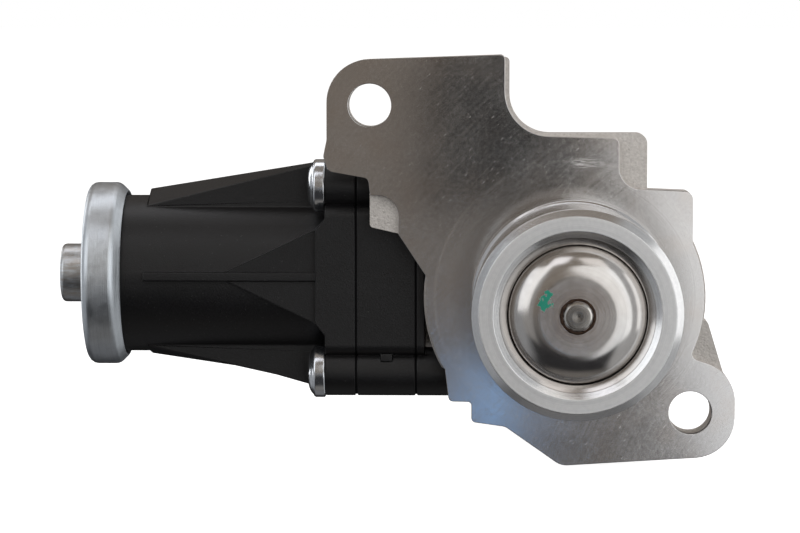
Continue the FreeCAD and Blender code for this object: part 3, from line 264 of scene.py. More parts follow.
def casting(x, y, z):
    """Cast skin, a face milled across and lightly marked, and a spigot with a root ring that are turned."""
    spot = point(x, y, z)
    radius = distance(x, z)
    spigot = (y < -0.3) * (radius < spigot_reach)
    front = (y < spigot_front) * (radius > mouth_radius)
    root = ramp(radius, root_ring + 0.6, root_ring - 0.4) * (y < 0.4) * (1 - spigot)
    strip = (x < -24.5) * (z < 9.0) * (z > -24.0) * (y < 2.6)
    skin = ramp(y, 1.2, 1.45) * (1 - (radius < stem_barrel_radius) * (y < 60)) * (1 - strip)

    cloud = grain(spot, 13.0, 5.0, 2.4)
    stain = ramp(grain(point(x + 40.0, y, z), 9.0, 4.0), 0.46, 0.66)
    haze = grain(spot, 0.8, 5.0, 2.0)
    grit = grain(spot, 0.28, 2.0, 2.4)
    speck = ramp(grain(spot, 0.36, 1.0), 0.71, 0.77)
    milling = distance(x - 70.0, z + 60.0)
    arcs = grain(point(milling * 3.0, x * 0.06, z * 0.06), 1.0, 3.0, 1.8)
    scratch = ramp(grain(point((x - z) * 4.6, (x + z) * 0.09, 3.0), 1.0, 2.0), 0.60, 0.70)
    nick = ramp(grain(point((x - z) * 1.9, (x + z) * 0.45, 9.0), 1.0, 0.0), 0.79, 0.82)
    rub = ramp(grain(point(x * 0.35, z * 3.6, 5.0), 1.0, 3.0), 0.44, 0.60)
    scuff = ramp(distance((x - 2.7) * 0.30, z - 28.2), 1.35, 0.5) * rub
    rings = grain(point(radius * 3.6, y * 3.6, 0.0), 1.0, 3.0, 1.8)
    # Painted highlight: a thin lighter line along the root ring's edge, on its upper-left side only.
    upper_left = ramp(x, 16.0, 2.0) * ramp(z, -14.0, -6.0) * (y < 0.6)
    painted_arc_highlight = ramp((radius - root_ring).math("ABSOLUTE"), 0.45, 0.1) * upper_left
    sand = grain(spot, 0.45, 3.0, 1.7)
    pits = ramp(grain(spot, 0.8, 2.0), 0.40, 0.30)
    lumps = grain(spot, 3.5, 2.0)

    tone = cloud * 0.28 + haze * 0.32 + arcs * 0.18 + grit * 0.22
    marks = speck * 0.30 + scratch * 0.10 + nick * 0.22 + scuff * 0.30
    milled = blend(tone, (0.48, 0.465, 0.46), (0.73, 0.715, 0.71))
    milled = blend(stain * 0.30, milled, (0.56, 0.485, 0.43))
    milled = blend(marks, milled, (0.92, 0.91, 0.90))
    # The root ring is lighter with its own turning marks; the thin arc laid on it is a painted highlight.
    milled = blend(root * (0.03 + rings * 0.20) + painted_arc_highlight * 0.30, milled, (0.80, 0.78, 0.76))
    # Painted shade: the milled face darkens towards the spigot's root, all round it.
    milled = blend(ramp(radius, 26.0, 21.5) * (y < 0.6) * 0.45, milled, (0.30, 0.29, 0.28))
    turned = blend(rings * 0.60 + haze * 0.25 + cloud * 0.15, (0.60, 0.60, 0.605), (0.88, 0.875, 0.87))
    cast = blend(sand * 0.8 + pits * 0.2, (0.80, 0.76, 0.72), (0.55, 0.515, 0.48))

    milled_rough = 0.070 + cloud * 0.03 + haze * 0.03 + arcs * 0.02 + scuff * 0.12 + speck * 0.08
    turned_rough = 0.20 + rings * 0.07 + front * 0.20
    milled_relief = relief(arcs * 0.4 + haze * 0.8 + scratch * 0.7 + nick * 3 + scuff, 0.0008)
    turned_relief = relief(rings * (spigot + root * 0.25), 0.004, milled_relief)
    return {
        "base_color": blend(skin, blend(spigot, milled, turned), cast),
        "metallic": choose(skin, 1.0, 0.45),
        "roughness": choose(skin, choose(spigot, milled_rough, turned_rough), 0.66),
        "normal": relief(sand * skin + lumps * skin * 2.0 - pits * skin * 0.6, 0.09, turned_relief),
    }


dress(body, finish_of("cast aluminium", casting))

# Motor housing: one black glass-filled moulding with the motor's barrel, its gussets and the connector.
# The barrel, flange and connector carry a fine moulded grain and no paint.
housing = moulding("motor_housing", "motor_moulding", 0.25)


def plastic(x, y, z):
    spot = point(x, y, z)
    pores = grain(spot, 0.30, 2.0, 1.5)
    flow = grain(point(x * 0.3, y, z), 7.0, 3.0, 1.6)
    dust = ramp(grain(spot, 0.45, 0.0), 0.80, 0.84)
    colour = blend(flow * 0.6 + pores * 0.4, (0.0024, 0.0022, 0.0028), (0.0064, 0.0060, 0.0070))
    return {
        "base_color": blend(dust * 0.4, colour, (0.06, 0.06, 0.058)),
        "roughness": 0.33 + pores * 0.14 + flow * 0.08,
        "normal": relief(pores, 0.020),
    }


black_plastic = finish_of("black glass-filled plastic", plastic, 0.0, specular_ior_level=0.50)
dress(housing, black_plastic)

# Gear housing and adapter plate: two more black mouldings that close the gearbox towards the valve body.
# They are stacked on the motor housing with a thin gasket in each joint. All seals are black rubber.
for node, name in (("gear_housing", "gear_box_moulding"), ("adapter_plate", "adapter_moulding")):
    dress(moulding(node, name, 0.25), black_plastic)


def rubber(x, y, z):
    pores = grain(point(x, y, z), 0.3, 2.0)
    return {"base_color": blend(pores, (0.0025, 0.0025, 0.003), (0.006, 0.006, 0.0065)),
            "roughness": 0.72 + pores * 0.15, "normal": relief(pores, 0.01)}


seal_rubber = finish_of("seal rubber", rubber, 0.0, specular_ior_level=0.15)
for node in ("outer_gasket", "inner_gasket", "rear_cover_gasket",
             "end_cap_seal", "stem_seal", "output_shaft_seal"):
    dress(nodes[node], seal_rubber)

# End cap: a zinc-plated cup pressed from 1.2 mm steel sheet, with a boss for the motor's rear bearing.
# Its lip is curled in behind the barrel's collar and holds it. The plating is dull and cloudy.


def pick(piece, test):
    """Selects the edges whose two ends pass the test, and goes back to edit mode."""
    bpy.ops.object.mode_set(mode="OBJECT")
    mesh = piece.data
    for part in (mesh.polygons, mesh.edges, mesh.vertices):
        part.foreach_set("select", [False] * len(part))
    passed = [test(vertex.co) for vertex in mesh.vertices]
    for edge in mesh.edges:
        edge.select = all(passed[index] for index in edge.vertices)
    bpy.ops.object.mode_set(mode="EDIT")


def lathe(name, profile, axis, centre=(0.0, 0.0, 0.0), segments=144, ring=False):
    """Draws a circle out along an axis from corner to corner, and closes its ends or joins them to a ring.

    A corner gives its place on the axis, its radius and, where it is rounded, by how much.
    """
    turn = {0: (0.0, math.radians(90), 0.0), 1: (math.radians(90), 0.0, 0.0)}[axis]
    spot = Vector(centre) * mm
    spot[axis] = profile[0][0] * mm
    bpy.ops.object.select_all(action="DESELECT")
    bpy.ops.mesh.primitive_circle_add(vertices=segments, radius=profile[0][1] * mm, location=spot,
                                      rotation=turn)
    piece = bpy.context.active_object
    piece.name = name
    bpy.ops.object.transform_apply(location=True, rotation=True, scale=True)
    bpy.ops.object.mode_set(mode="EDIT")
    bpy.ops.mesh.select_mode(type="EDGE")
    bpy.ops.mesh.select_all(action="SELECT")
    for before, corner in zip(profile, profile[1:]):
        step = Vector((0.0, 0.0, 0.0))
        step[axis] = (corner[0] - before[0]) * mm
        spot[axis] = corner[0] * mm
        bpy.ops.mesh.extrude_edges_move(TRANSFORM_OT_translate={"value": step})
        bpy.ops.transform.resize(value=(corner[1] / before[1],) * 3, center_override=spot)
    bpy.ops.mesh.select_all(action="DESELECT")
    bpy.ops.mesh.select_non_manifold()
    if ring:
        bpy.ops.mesh.bridge_edge_loops()
    else:
        bpy.ops.mesh.fill_holes(sides=0)
    bpy.ops.mesh.select_all(action="SELECT")
    bpy.ops.mesh.normals_make_consistent(inside=False)
    across = [number for number in range(3) if number != axis]
    for place, radius, *rounding in profile:
        if rounding:
            pick(piece, lambda co: abs(co[axis] - place * mm) < 1e-6 and abs(
                math.dist([co[n] for n in across], [spot[n] for n in across]) - radius * mm) < 1e-6)
            bpy.ops.mesh.bevel(offset=rounding[0] * mm, offset_type="OFFSET", segments=4, profile=0.5)
    bpy.ops.object.mode_set(mode="OBJECT")
    return piece


motor_y = 29.0
motor_z = 2.8
sheet = 1.2
boss_end = -110.5
boss_radius = 6.35
cap_face = -104.4
cap_radius = 19.8
cap = lathe("end_cap_pressing", [
    (boss_end, boss_radius, 1.0),
    (cap_face, boss_radius, 0.6),
    (cap_face, cap_radius, 1.9),
    (-97.8, cap_radius, 0.8),
    (-95.9, 17.9, 0.3),
    (-96.5, 17.3, 0.2),
    (-97.9, cap_radius - sheet),
    (cap_face + sheet, cap_radius - sheet, 0.6),
    (cap_face + sheet, 5.0, 0.3),
    (boss_end + sheet, 5.0),
], 0, (0.0, motor_y, motor_z), 160)
soften(cap, angle=40)
fixed_on(cap, "motor_end_cap")


def zinc(x, y, z):
    spot = point(x, y, z)
    cloud = grain(spot, 2.2, 4.0, 2.2)
    fine = grain(spot, 0.30, 2.0, 1.6)
    drawn = grain(point(x * 2.6, y * 0.10, z * 0.10), 1.0, 3.0, 2.0)
    speck = ramp(grain(spot, 0.42, 1.0), 0.72, 0.77)
    rub = (x < cap_face - 0.6) * grain(point(x * 0.5, y * 0.5, z * 2.2), 1.2, 3.0, 2.4)
    colour = blend(cloud * 0.45 + fine * 0.25 + drawn * 0.30, (0.54, 0.575, 0.61), (0.76, 0.80, 0.84))
    colour = blend(rub * 0.7, colour, (0.42, 0.36, 0.30))
    return {
        "base_color": blend(speck * 0.6, colour, (0.90, 0.92, 0.94)),
        "roughness": 0.30 + cloud * 0.10 + fine * 0.08 - rub * 0.06,
        "normal": relief(fine, 0.014, relief(cloud * 0.6 + drawn, 0.022)),
    }


dress(cap, finish_of("dull zinc plating", zinc))

# Housing screws: four zinc-plated steel screws with a washer face, a domed head and a six-lobed recess.
# They pass through the motor housing, gear housing and adapter plate into threads in the casting.


def lobed_cutter(radius, depth, axis, centre):
    """A star with six rounded lobes, drawn out both ways from the centre along the axis."""
    lobes = 6
    waist = 0.76
    bpy.ops.object.select_all(action="DESELECT")
    turn = {0: (0.0, math.radians(90), 0.0), 1: (math.radians(90), 0.0, 0.0)}[axis]
    spot = Vector(centre) * mm
    bpy.ops.mesh.primitive_circle_add(vertices=2 * lobes, radius=radius * mm, fill_type="NGON",
                                      location=spot, rotation=turn)
    cutter = bpy.context.active_object
    bpy.ops.object.transform_apply(location=True, rotation=True, scale=True)
    for vertex in cutter.data.vertices:
        vertex.select = vertex.index % 2 == 0
    for edge in cutter.data.edges:
        edge.select = False
    for face in cutter.data.polygons:
        face.select = False
    bpy.ops.object.mode_set(mode="EDIT")
    bpy.ops.mesh.select_mode(type="VERT")
    bpy.ops.transform.resize(value=(waist, waist, waist), center_override=spot)
    bpy.ops.mesh.select_all(action="SELECT")
    bpy.ops.mesh.bevel(offset=radius * 0.2 * mm, affect="VERTICES", segments=3)
    bpy.ops.mesh.select_all(action="SELECT")
    step = Vector((0.0, 0.0, 0.0))
    step[axis] = depth * mm
    bpy.ops.transform.translate(value=-step)
    bpy.ops.mesh.extrude_region_move(TRANSFORM_OT_translate={"value": step * 2})
    bpy.ops.mesh.select_all(action="SELECT")
    bpy.ops.mesh.normals_make_consistent(inside=False)
    bpy.ops.object.mode_set(mode="OBJECT")
    return cutter


def cut_out(piece, cutter):
    start(piece)
    cutting = piece.modifiers.new("recess", "BOOLEAN")
    cutting.operation = "DIFFERENCE"
    cutting.solver = "EXACT"
    cutting.object = cutter
    bpy.ops.object.modifier_apply(modifier=cutting.name)
    bpy.data.objects.remove(cutter, do_unlink=True)


def repeated(first, name, steps):
    """The first piece, and a copy of it at each of the steps from it, in millimetres."""
    pieces = [first]
    for number, step in enumerate(steps, 2):
        piece = first.copy()
        piece.data = first.data.copy()
        piece.name = name + "_" + str(number)
        bpy.context.scene.collection.objects.link(piece)
        piece.location = Vector(step) * mm
        start(piece)
        bpy.ops.object.transform_apply(location=True, rotation=True, scale=True)
        pieces.append(piece)
    return pieces


def plating(x, y, z):
    spot = point(x, y, z)
    cloud = grain(spot, 1.2, 3.0, 1.8)
    return {"base_color": blend(cloud, (0.66, 0.68, 0.71), (0.80, 0.82, 0.85)),
            "roughness": 0.14 + cloud * 0.10, "normal": relief(cloud, 0.008)}


bright_zinc = finish_of("bright zinc plating", plating)
screw_places = ((15.0, 22.7), (15.0, -17.1), (70.8, 19.6), (70.8, -18.6))
thread_tip = -17.0
washer_face = -52.3
head_top = -56.0
shank_radius = 2.5
washer_radius = 5.6
y, z = screw_places[0]
first_screw = lathe("housing_screw_1", [
    (thread_tip, 1.7),
    (thread_tip - 1.0, shank_radius),
    (washer_face, shank_radius),
    (washer_face, washer_radius, 0.35),
    (washer_face - 2.4, washer_radius, 0.45),
    (washer_face - 2.6, 5.0, 0.15),
    (washer_face - 3.3, 4.3, 0.6),
    (head_top, 2.9, 0.2),
], 0, (0.0, y, z), 72)
cut_out(first_screw, lobed_cutter(2.3, 2.0, 0, (head_top, y, z)))
soften(first_screw, angle=34)
for screw in repeated(first_screw, "housing_screw", [
        (0.0, other_y - y, other_z - z) for other_y, other_z in screw_places[1:]]):
    fixed_on(screw, "housing_screws")
    dress(screw, bright_zinc)

# Seat ring: a turned stainless ring that is pressed into the spigot's mouth.
# The poppet's edge closes on its ground cone.
seat_front = -38.1
seat_back = -30.6
seat_radius = 15.4
gas_radius = 12.3
seat = lathe("seat_ring_turned", [
    (seat_front, seat_radius),
    (seat_back, seat_radius, 0.3),
    (seat_back, gas_radius, 0.4),
    (-33.65, gas_radius),
    (-35.15, 13.8),
    (seat_front + 1.0, 13.95, 0.1),
], 1, ring=True)
soften(seat, angle=34)
fixed_on(seat, "seat_ring")


def stainless(x, y, z):
    spot = point(x, y, z)
    radius = distance(x, z)
    rings = grain(point(radius * 6.5, y * 6.5, 0.0), 1.0, 4.0, 1.6)
    rays = grain(point(x * 0.7, z * 0.7, radius * 0.05), 1.0, 4.0, 1.6)
    heat = ramp(radius, 8.5, 3.6)
    cloud = grain(spot, 6.0, 3.0, 1.6)
    colour = blend(rings * 0.6 + rays * 0.4, (0.53, 0.505, 0.485), (0.72, 0.70, 0.68))
    colour = blend(heat * (0.42 + cloud * 0.40) + cloud * 0.14, colour, (0.36, 0.30, 0.265))
    smear = distance((x + 6.4) * 1.25, z - 3.0) + grain(spot, 1.3, 2.0, 1.8) * 2.6
    paint = ramp(smear, 3.1, 2.9) * ramp(grain(spot, 0.8, 2.0), 0.36, 0.42) * (y < -36.0)
    return {"base_color": blend(paint, colour, (0.012, 0.30, 0.20)),
            "metallic": choose(paint, 1.0, 0.0),
            "roughness": choose(paint, 0.140 + rings * 0.045 + rays * 0.04, 0.5),
            "normal": relief(rings * (0.7 + heat * 0.4), 0.0026, relief(cloud, 0.006))}


turned_stainless = finish_of("turned stainless steel", stainless)
dress(seat, turned_stainless)

# Poppet: a stainless disc turned with a flat-topped dome, held on the stem's end by a weld.
# The weld leaves a dark brown ring of small beads round the stem's chamfered end.
edge_y = -36.9
disc_back = edge_y + 4.3
disc_radius = 13.8
flat_radius = 7.4
neck_radius = 2.85
dome_height = 3.5
dome_front = edge_y - dome_height
dome_tilt = 2 * math.atan2(dome_height, disc_radius - flat_radius)
dome_arc = (disc_radius - flat_radius) / math.sin(dome_tilt)
dome_steps = 24
dome = []
for step in range(dome_steps - 2, -1, -1):
    turn = dome_tilt * step / dome_steps
    dome.append((dome_front + dome_arc * (1 - math.cos(turn)), flat_radius + dome_arc * math.sin(turn)))
poppet = lathe("poppet_turned", [
    (disc_back, 6.0, 0.4),
    (edge_y + 3.1, 11.7, 0.3),
    (edge_y + 1.6, disc_radius - 0.15, 0.15),
    (edge_y + 0.1, disc_radius, 0.1),
] + dome + [(dome_front, neck_radius), (disc_back, neck_radius)], 1, ring=True)
soften(poppet, angle=30)
fixed_on(poppet, "poppet_disc")
dress(poppet, turned_stainless)

weld_y = dome_front - 0.08
weld_radius = 3.28
bead_radius = 0.37
swells = 40
bpy.ops.object.select_all(action="DESELECT")
bpy.ops.mesh.primitive_torus_add(major_segments=swells, minor_segments=10, major_radius=weld_radius * mm,
                                 minor_radius=bead_radius * mm, location=(0.0, weld_y * mm, 0.0),
                                 rotation=(math.radians(90), 0.0, 0.0))
bead = bpy.context.active_object
bead.name = "weld_bead"
bpy.ops.object.transform_apply(location=True, rotation=True, scale=True)
for step in range(swells):
    turn = 2 * math.pi * step / swells
    heart = Vector((math.cos(turn) * weld_radius, weld_y, math.sin(turn) * weld_radius)) * mm
    pick(bead, lambda co: (co - heart).length < bead_radius * 1.2 * mm
         and abs(co.x * math.sin(turn) - co.z * math.cos(turn)) < 1e-5)
    size = random.uniform(0.62, 1.38)
    bpy.ops.transform.resize(value=(size, size, size), center_override=heart)
bpy.ops.object.mode_set(mode="OBJECT")
rounding = bead.modifiers.new("rounding", "SUBSURF")
rounding.levels = 1
rounding.render_levels = 1
start(bead)
bpy.ops.object.modifier_apply(modifier=rounding.name)
soften(bead, angle=60)
fixed_on(bead, "stem_weld")


def scale_brown(x, y, z):
    spot = point(x, y, z)
    cloud = grain(spot, 0.45, 3.0, 2.2)
    return {"base_color": blend(cloud, (0.012, 0.006, 0.004), (0.08, 0.045, 0.028)),
            "roughness": 0.42 + cloud * 0.2, "normal": relief(cloud, 0.04)}


dress(bead, finish_of("scaled weld", scale_brown, 0.7))

# Valve stem: a ground steel rod that carries the poppet at the front and the follower pin at the back.
# Its end has a bright chamfer and a small centre mark, and a groove holds the spring's collets.
stem_end = dome_front - 0.80
stem_radius = 3.0
groove_radius = 2.4
groove = (39.7, 40.9)
pin_radius = 1.2
pin_y = 54.53
stem = lathe("stem_ground", [
    (stem_end + 0.03, 0.15),
    (stem_end, 0.40),
    (stem_end, 2.42, 0.05),
    (stem_end + 0.42, neck_radius, 0.08),
    (disc_back, neck_radius),
    (disc_back, stem_radius),
    (groove[0], stem_radius, 0.1),
    (groove[0], groove_radius),
    (groove[1], groove_radius),
    (groove[1], stem_radius, 0.1),
    (pin_y + 3.0, stem_radius, 0.3),
], 1, segments=72)
bpy.ops.object.select_all(action="DESELECT")
bpy.ops.mesh.primitive_cylinder_add(vertices=48, radius=pin_radius * mm, depth=8 * mm,
                                    rotation=(0.0, math.radians(90), 0.0), location=(0.0, pin_y * mm, 0.0))
cut_out(stem, bpy.context.active_object)
soften(stem, angle=25)
fixed_on(stem, "valve_stem")


def ground(x, y, z):
    spot = point(x, y, z)
    radius = distance(x, z)
    marks = grain(point(radius * 2.0, y * 3.0, 0.0), 1.0, 2.0, 1.8)
    end = ramp(radius, 2.50, 2.35) * (y < stem_end + 0.2)
    centre = ramp(radius, 0.8, 0.2) * end
    cloud = grain(spot, 1.5, 3.0, 1.5)
    colour = blend(cloud * 0.5 + marks * 0.3, (0.68, 0.665, 0.64), (0.46, 0.43, 0.39))
    colour = blend(end * (0.72 + cloud * 0.2), colour, (0.19, 0.175, 0.16))
    return {"base_color": blend(centre * 0.3, colour, (0.10, 0.09, 0.08)),
            "roughness": 0.16 + marks * 0.14,
            "normal": relief(marks - centre * 2, 0.006)}


ground_steel = finish_of("ground steel", ground)
dress(stem, ground_steel)

# Return spring: five turns of round spring wire between its seat and the retainer.
# It is wound from oil-tempered wire, and gets shorter as the valve opens.
spring_start = 18.7
spring_length = 19.0
coil_radius = 7.4
wire = 0.85
turns = 5
bpy.ops.object.select_all(action="DESELECT")
bpy.ops.mesh.primitive_circle_add(vertices=12, radius=wire * mm,
                                  location=(coil_radius * mm, (spring_start + wire) * mm, 0.0))
spring = bpy.context.active_object
spring.name = "return_spring_coil"
bpy.ops.object.transform_apply(location=True, rotation=True, scale=True)
winding = spring.modifiers.new("winding", "SCREW")
winding.axis = "Y"
winding.iterations = turns
winding.screw_offset = (spring_length - 2 * wire) / turns * mm
winding.steps = 36
winding.render_steps = 36
bpy.ops.object.modifier_apply(modifier=winding.name)
bpy.ops.object.mode_set(mode="EDIT")
bpy.ops.mesh.select_all(action="DESELECT")
bpy.ops.mesh.select_non_manifold()
bpy.ops.mesh.fill_holes(sides=0)
bpy.ops.mesh.select_all(action="SELECT")
bpy.ops.mesh.normals_make_consistent(inside=False)
bpy.ops.object.mode_set(mode="OBJECT")
soften(spring, angle=50)
fixed_on(spring, "return_spring")
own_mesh(spring)


def cloudy(size, one, two, rough, spread, depth):
    """A look of two colours in clouds of that many millimetres, with a fine grain of that depth."""
    def look(x, y, z):
        spot = point(x, y, z)
        cloud = grain(spot, size, 4.0, 1.8)
        fine = grain(spot, size * 0.12, 2.0, 1.5)
        return {"base_color": blend(cloud * 0.7 + fine * 0.3, one, two),
                "roughness": rough + cloud * spread + fine * spread * 0.5, "normal": relief(fine, depth)}
    return look


dress(spring, finish_of("oil-tempered spring wire", cloudy(
    2.0, (0.16, 0.15, 0.15), (0.26, 0.25, 0.24), 0.30, 0.10, 0.008)))

# Connector terminals: five tinned blades stamped from 0.7 mm brass strip.
# They are moulded into the floor of the connector, and each one narrows to a point for the plug.
blade_middle = Vector((-57.45, 63.0, -6.4))
blade_size = Vector((17.3, 0.7, 1.5))
tip = Vector((-1.2, 0.0, 0.0))
pitch = 3.2
bpy.ops.object.select_all(action="DESELECT")
bpy.ops.mesh.primitive_cube_add(size=1.0, location=blade_middle * mm, scale=blade_size * mm)
first_blade = bpy.context.active_object
first_blade.name = "terminal_blade_1"
bpy.ops.object.transform_apply(location=True, rotation=True, scale=True)
pick(first_blade, lambda co: co.x < blade_middle.x * mm)
bpy.ops.mesh.select_mode(type="FACE")
bpy.ops.mesh.extrude_region_move(TRANSFORM_OT_translate={"value": tip * mm})
blade_front = blade_middle - Vector((blade_size.x / 2, 0.0, 0.0)) + tip
bpy.ops.transform.resize(value=(1.0, 0.45, 0.6), center_override=blade_front * mm)
bpy.ops.mesh.select_mode(type="EDGE")
bpy.ops.object.mode_set(mode="OBJECT")
soften(first_blade, 0.07, 20)
tin = finish_of("tinned brass", cloudy(1.2, (0.66, 0.65, 0.62), (0.80, 0.79, 0.77), 0.24, 0.14, 0.004))
for blade in repeated(first_blade, "terminal_blade", [
        (0.0, 0.0, pitch * number) for number in range(1, 5)]):
    fixed_on(blade, "connector_terminals")
    dress(blade, tin)

# Rear cover: a cast aluminium lid with a raised middle over the cam. It sits on a gasket.
# It is shot-blasted like the body, so it is duller and finer than a milled face.
cover = moulding("rear_cover", "cover_casting", 0.3)
dress(cover, finish_of("blasted aluminium", cloudy(
    4.0, (0.86, 0.83, 0.79), (0.66, 0.63, 0.60), 0.52, 0.12, 0.05), 0.55))

# Rear cover screws: four zinc-plated steel screws with low round heads and a six-lobed recess.
# They go through the cover and its gasket into threads at the corners of the cam chamber.
cover_screw_places = ((-13.8, -18.0), (-13.8, 18.0), (7.5, -18.0), (7.5, 18.0))
cover_face = 80.13
cover_head_top = 82.53
cover_shank_radius = 2.0
x, z = cover_screw_places[0]
first_screw = lathe("cover_screw_1", [
    (67.53, 1.5),
    (68.2, cover_shank_radius),
    (cover_face, cover_shank_radius),
    (cover_face, 3.8, 0.25),
    (cover_face + 1.6, 3.65, 0.7),
    (cover_head_top, 2.6, 0.3),
], 1, (x, 0.0, z), 64)
cut_out(first_screw, lobed_cutter(1.75, 1.5, 1, (x, cover_head_top, z)))
soften(first_screw, angle=34)
for screw in repeated(first_screw, "cover_screw", [
        (other_x - x, 0.0, other_z - z) for other_x, other_z in cover_screw_places[1:]]):
    fixed_on(screw, "rear_cover_screws")
    dress(screw, bright_zinc)

# Parts inside: each keeps the shape it has in the source, finished as its slot in the record says.
# A row gives the slot, the finish, how metallic it is, and the numbers and colours of its clouds.
inside = {"stainless": turned_stainless, "stem_steel": ground_steel}
for slot, name, metallic, *clouds in (
    ("bronze", "sintered bronze", 1.0, 1.6, (0.46, 0.27, 0.12), (0.60, 0.39, 0.20), 0.38, 0.14, 0.02),
    ("pressed_steel", "pressed steel", 1.0, 3.0, (0.46, 0.46, 0.46), (0.62, 0.62, 0.61), 0.26, 0.14, 0.01),
    ("hard_steel", "hardened steel", 1.0, 2.4, (0.42, 0.41, 0.40), (0.56, 0.55, 0.53), 0.18, 0.10, 0.004),
    ("gear_plastic", "natural nylon", 0.0, 3.0, (0.62, 0.58, 0.48), (0.72, 0.69, 0.60), 0.40, 0.10, 0.01),
    ("magnet", "sintered magnet", 0.3, 1.0, (0.045, 0.045, 0.048), (0.085, 0.085, 0.09), 0.48, 0.16, 0.02),
    ("iron", "soft iron", 1.0, 2.0, (0.22, 0.21, 0.20), (0.34, 0.33, 0.32), 0.34, 0.14, 0.015),
    ("copper", "drawn copper", 1.0, 1.5, (0.70, 0.34, 0.18), (0.82, 0.46, 0.28), 0.24, 0.12, 0.01),
    ("carbon", "pressed carbon", 0.0, 0.8, (0.018, 0.018, 0.019), (0.042, 0.042, 0.044), 0.55, 0.15, 0.03),
    ("board", "circuit board", 0.0, 5.0, (0.010, 0.075, 0.030), (0.016, 0.110, 0.045), 0.34, 0.10, 0.01),
    ("chip", "moulded epoxy", 0.0, 0.9, (0.010, 0.010, 0.011), (0.022, 0.022, 0.023), 0.50, 0.14, 0.01),
):
    inside[slot] = finish_of(name, cloudy(*clouds), metallic)
for part in frame["record"]["subparts"]:
    node = nodes[part["node"]]
    if not node.hide_render and part["material_slot"] in inside:
        dress(node, inside[part["material_slot"]])

# Studio: a pale floor, soft boxes at both sides of the camera, above and behind, and a small blue card.
# The floor shows to the camera only, and throws no light up at the part's underside.
floor_low = cad_low.z - 0.0002
bpy.ops.object.select_all(action="DESELECT")
bpy.ops.mesh.primitive_plane_add(size=30.0, location=(0, 0, floor_low))
floor = bpy.context.active_object
floor.name = "studio_floor"
pale = finish_of("pale floor", lambda x, y, z: {"base_color": (0.6, 0.6, 0.6), "roughness": 0.9}, 0.0,
                 emission_strength=0.93, emission_color=(1.0, 1.0, 1.0, 1.0), specular_ior_level=0.0)
dress(floor, pale)
floor.visible_glossy = False
floor.visible_diffuse = False


def soft_box(name, place, width, height, radiance, colour=(1.0, 1.0, 1.0), roll=0.0):
    """An even rectangle of light that faces the part, turned about its middle by the roll in degrees."""
    lamp = bpy.data.lights.new(name, "AREA")
    lamp.shape = "RECTANGLE"
    lamp.size = width
    lamp.size_y = height
    lamp.energy = radiance * math.pi * width * height
    lamp.color = colour
    box = bpy.data.objects.new(name, lamp)
    box.location = place
    facing = (Vector((-0.02, 0.0, 0.0)) - Vector(place)).to_track_quat("-Z", "Y")
    box.rotation_euler = (facing @ Quaternion((0.0, 0.0, 1.0), math.radians(roll))).to_euler()
    bpy.context.scene.collection.objects.link(box)
    box.visible_camera = False


soft_box("left_box", (-0.68, -0.52, 0.36), 0.62, 0.80, 1.05, (0.96, 0.98, 1.0))
soft_box("right_box", (0.392, -0.805, 0.12), 0.80, 1.10, 1.0, (0.95, 0.98, 1.0), 10.0)
soft_box("front_top_left_box", (-0.26, -0.50, 0.77), 0.34, 0.32, 1.25, (0.92, 0.94, 1.0))
soft_box("front_top_right_box", (0.27, -0.55, 0.73), 0.42, 0.32, 0.85)
soft_box("top_box", (-0.10, 0.30, 0.85), 1.20, 0.30, 1.6, (0.93, 0.95, 1.0))
soft_box("side_box", (0.95, -0.05, 0.16), 0.60, 1.0, 0.85)
soft_box("cool_card", (-0.017, -1.0, -0.146), 0.036, 0.036, 1.15, (0.22, 0.52, 1.0))
soft_box("rear_box_left", (1.0, 0.80, 0.25), 0.6, 0.9, 1.5)
soft_box("rear_box_right", (-1.0, 0.80, 0.25), 0.6, 0.9, 1.5)

# Flag: a small dark card just behind the camera. The milled face mirrors it, as it would a camera.
# It shows in reflections only.
bpy.ops.object.select_all(action="DESELECT")
bpy.ops.mesh.primitive_plane_add(size=1.0, location=(-0.009, -0.700, 0.016),
                                 rotation=(math.radians(90), 0.0, 0.0))
flag = bpy.context.active_object
flag.name = "studio_flag"
flag.scale = (0.072, 0.082, 1.0)
bpy.ops.object.transform_apply(location=True, rotation=True, scale=True)
black = finish_of("black flag", lambda x, y, z: {"base_color": (0.01, 0.01, 0.01), "roughness": 1.0}, 0.0,
                  emission_strength=0.04, emission_color=(1.0, 1.0, 1.0, 1.0), specular_ior_level=0.0)
dress(flag, black)
flag.visible_camera = False
flag.visible_diffuse = False
flag.visible_shadow = False

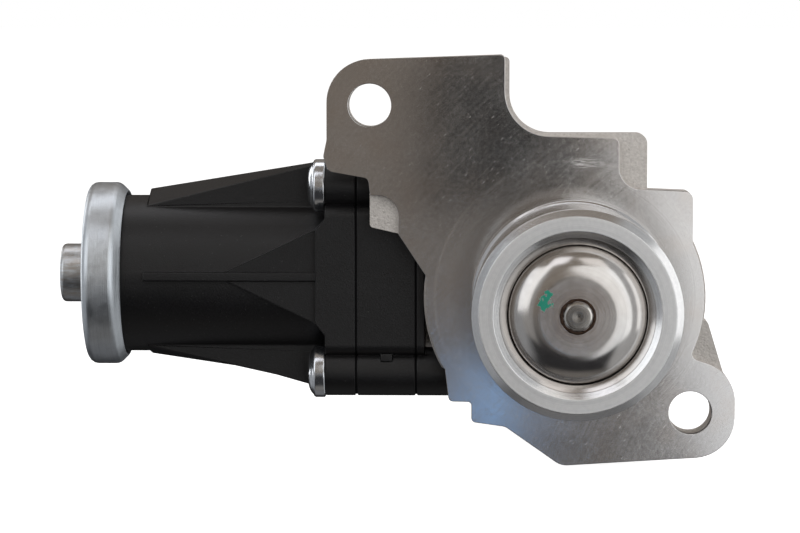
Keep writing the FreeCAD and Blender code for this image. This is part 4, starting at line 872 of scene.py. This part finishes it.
# Room: plain bands of light by direction, which the bright metal mirrors. The camera sees it white.
# Warm walls face the part, with a dark floor before it, a dark wall behind and paler walls at the sides.
world = bpy.data.worlds.new("studio")
world.use_nodes = True
bpy.context.scene.world = world
sky = world.node_tree.nodes["Background"]
around = Tone(world.node_tree.nodes.new("ShaderNodeTexCoord").outputs["Generated"])
east, north, height = [
    around.node("ShaderNodeSeparateXYZ", None, {0: around}, output) for output in range(3)]
low_left = ramp(east, -0.34, -0.42) * ramp(north, -0.55, -0.65) * ramp(height, -0.42, -0.34)
room = blend(ramp(height, -0.12, -0.03), (0.185, 0.179, 0.175), (0.245, 0.214, 0.184))
room = blend(ramp(height, -0.18, -0.32), room, (0.034, 0.034, 0.036))
room = blend(ramp(north, 0.05, 0.30) * ramp(height, 0.45, 0.30), room, (0.014, 0.014, 0.015))
room = blend(ramp(east, -0.55, -0.75), room, (0.33, 0.34, 0.355))
room = blend(low_left, room, (0.34, 0.335, 0.33))
room = blend(ramp(east, 0.43, 0.50) * ramp(north, -0.80, -0.70), room, (0.45, 0.455, 0.46))
room = blend(ramp(height, -0.70, -0.88) * ramp(north, -0.06, 0.06), room, (0.17, 0.17, 0.175))
room = blend(ramp(height, -0.84, -0.94) * ramp(north, 0.06, -0.06), room, (0.19, 0.18, 0.17))
ray = Tone(world.node_tree.nodes.new("ShaderNodeLightPath").outputs["Is Camera Ray"])
world.node_tree.links.new(blend(ray, room, (1.0, 1.0, 1.0)).socket, sky.inputs["Color"])
bpy.context.scene.view_settings.view_transform = "Standard"

# Camera: a 145 mm lens 0.67 m in front of the flange, a little above the spigot and to its left.
# It looks slightly down and to the left.
lens = 144.83
camera_place = Vector((-0.0184, -0.670, 0.0601))
aim = Vector((-0.02632, 1.0, -0.07990))
eye = bpy.data.cameras.new("camera")
eye.lens = lens
eye.sensor_width = 36.0
eye.clip_start = 0.01
camera = bpy.data.objects.new("camera", eye)
camera.location = camera_place
camera.rotation_euler = aim.to_track_quat("-Z", "Y").to_euler()
bpy.context.scene.collection.objects.link(camera)
bpy.context.scene.camera = camera
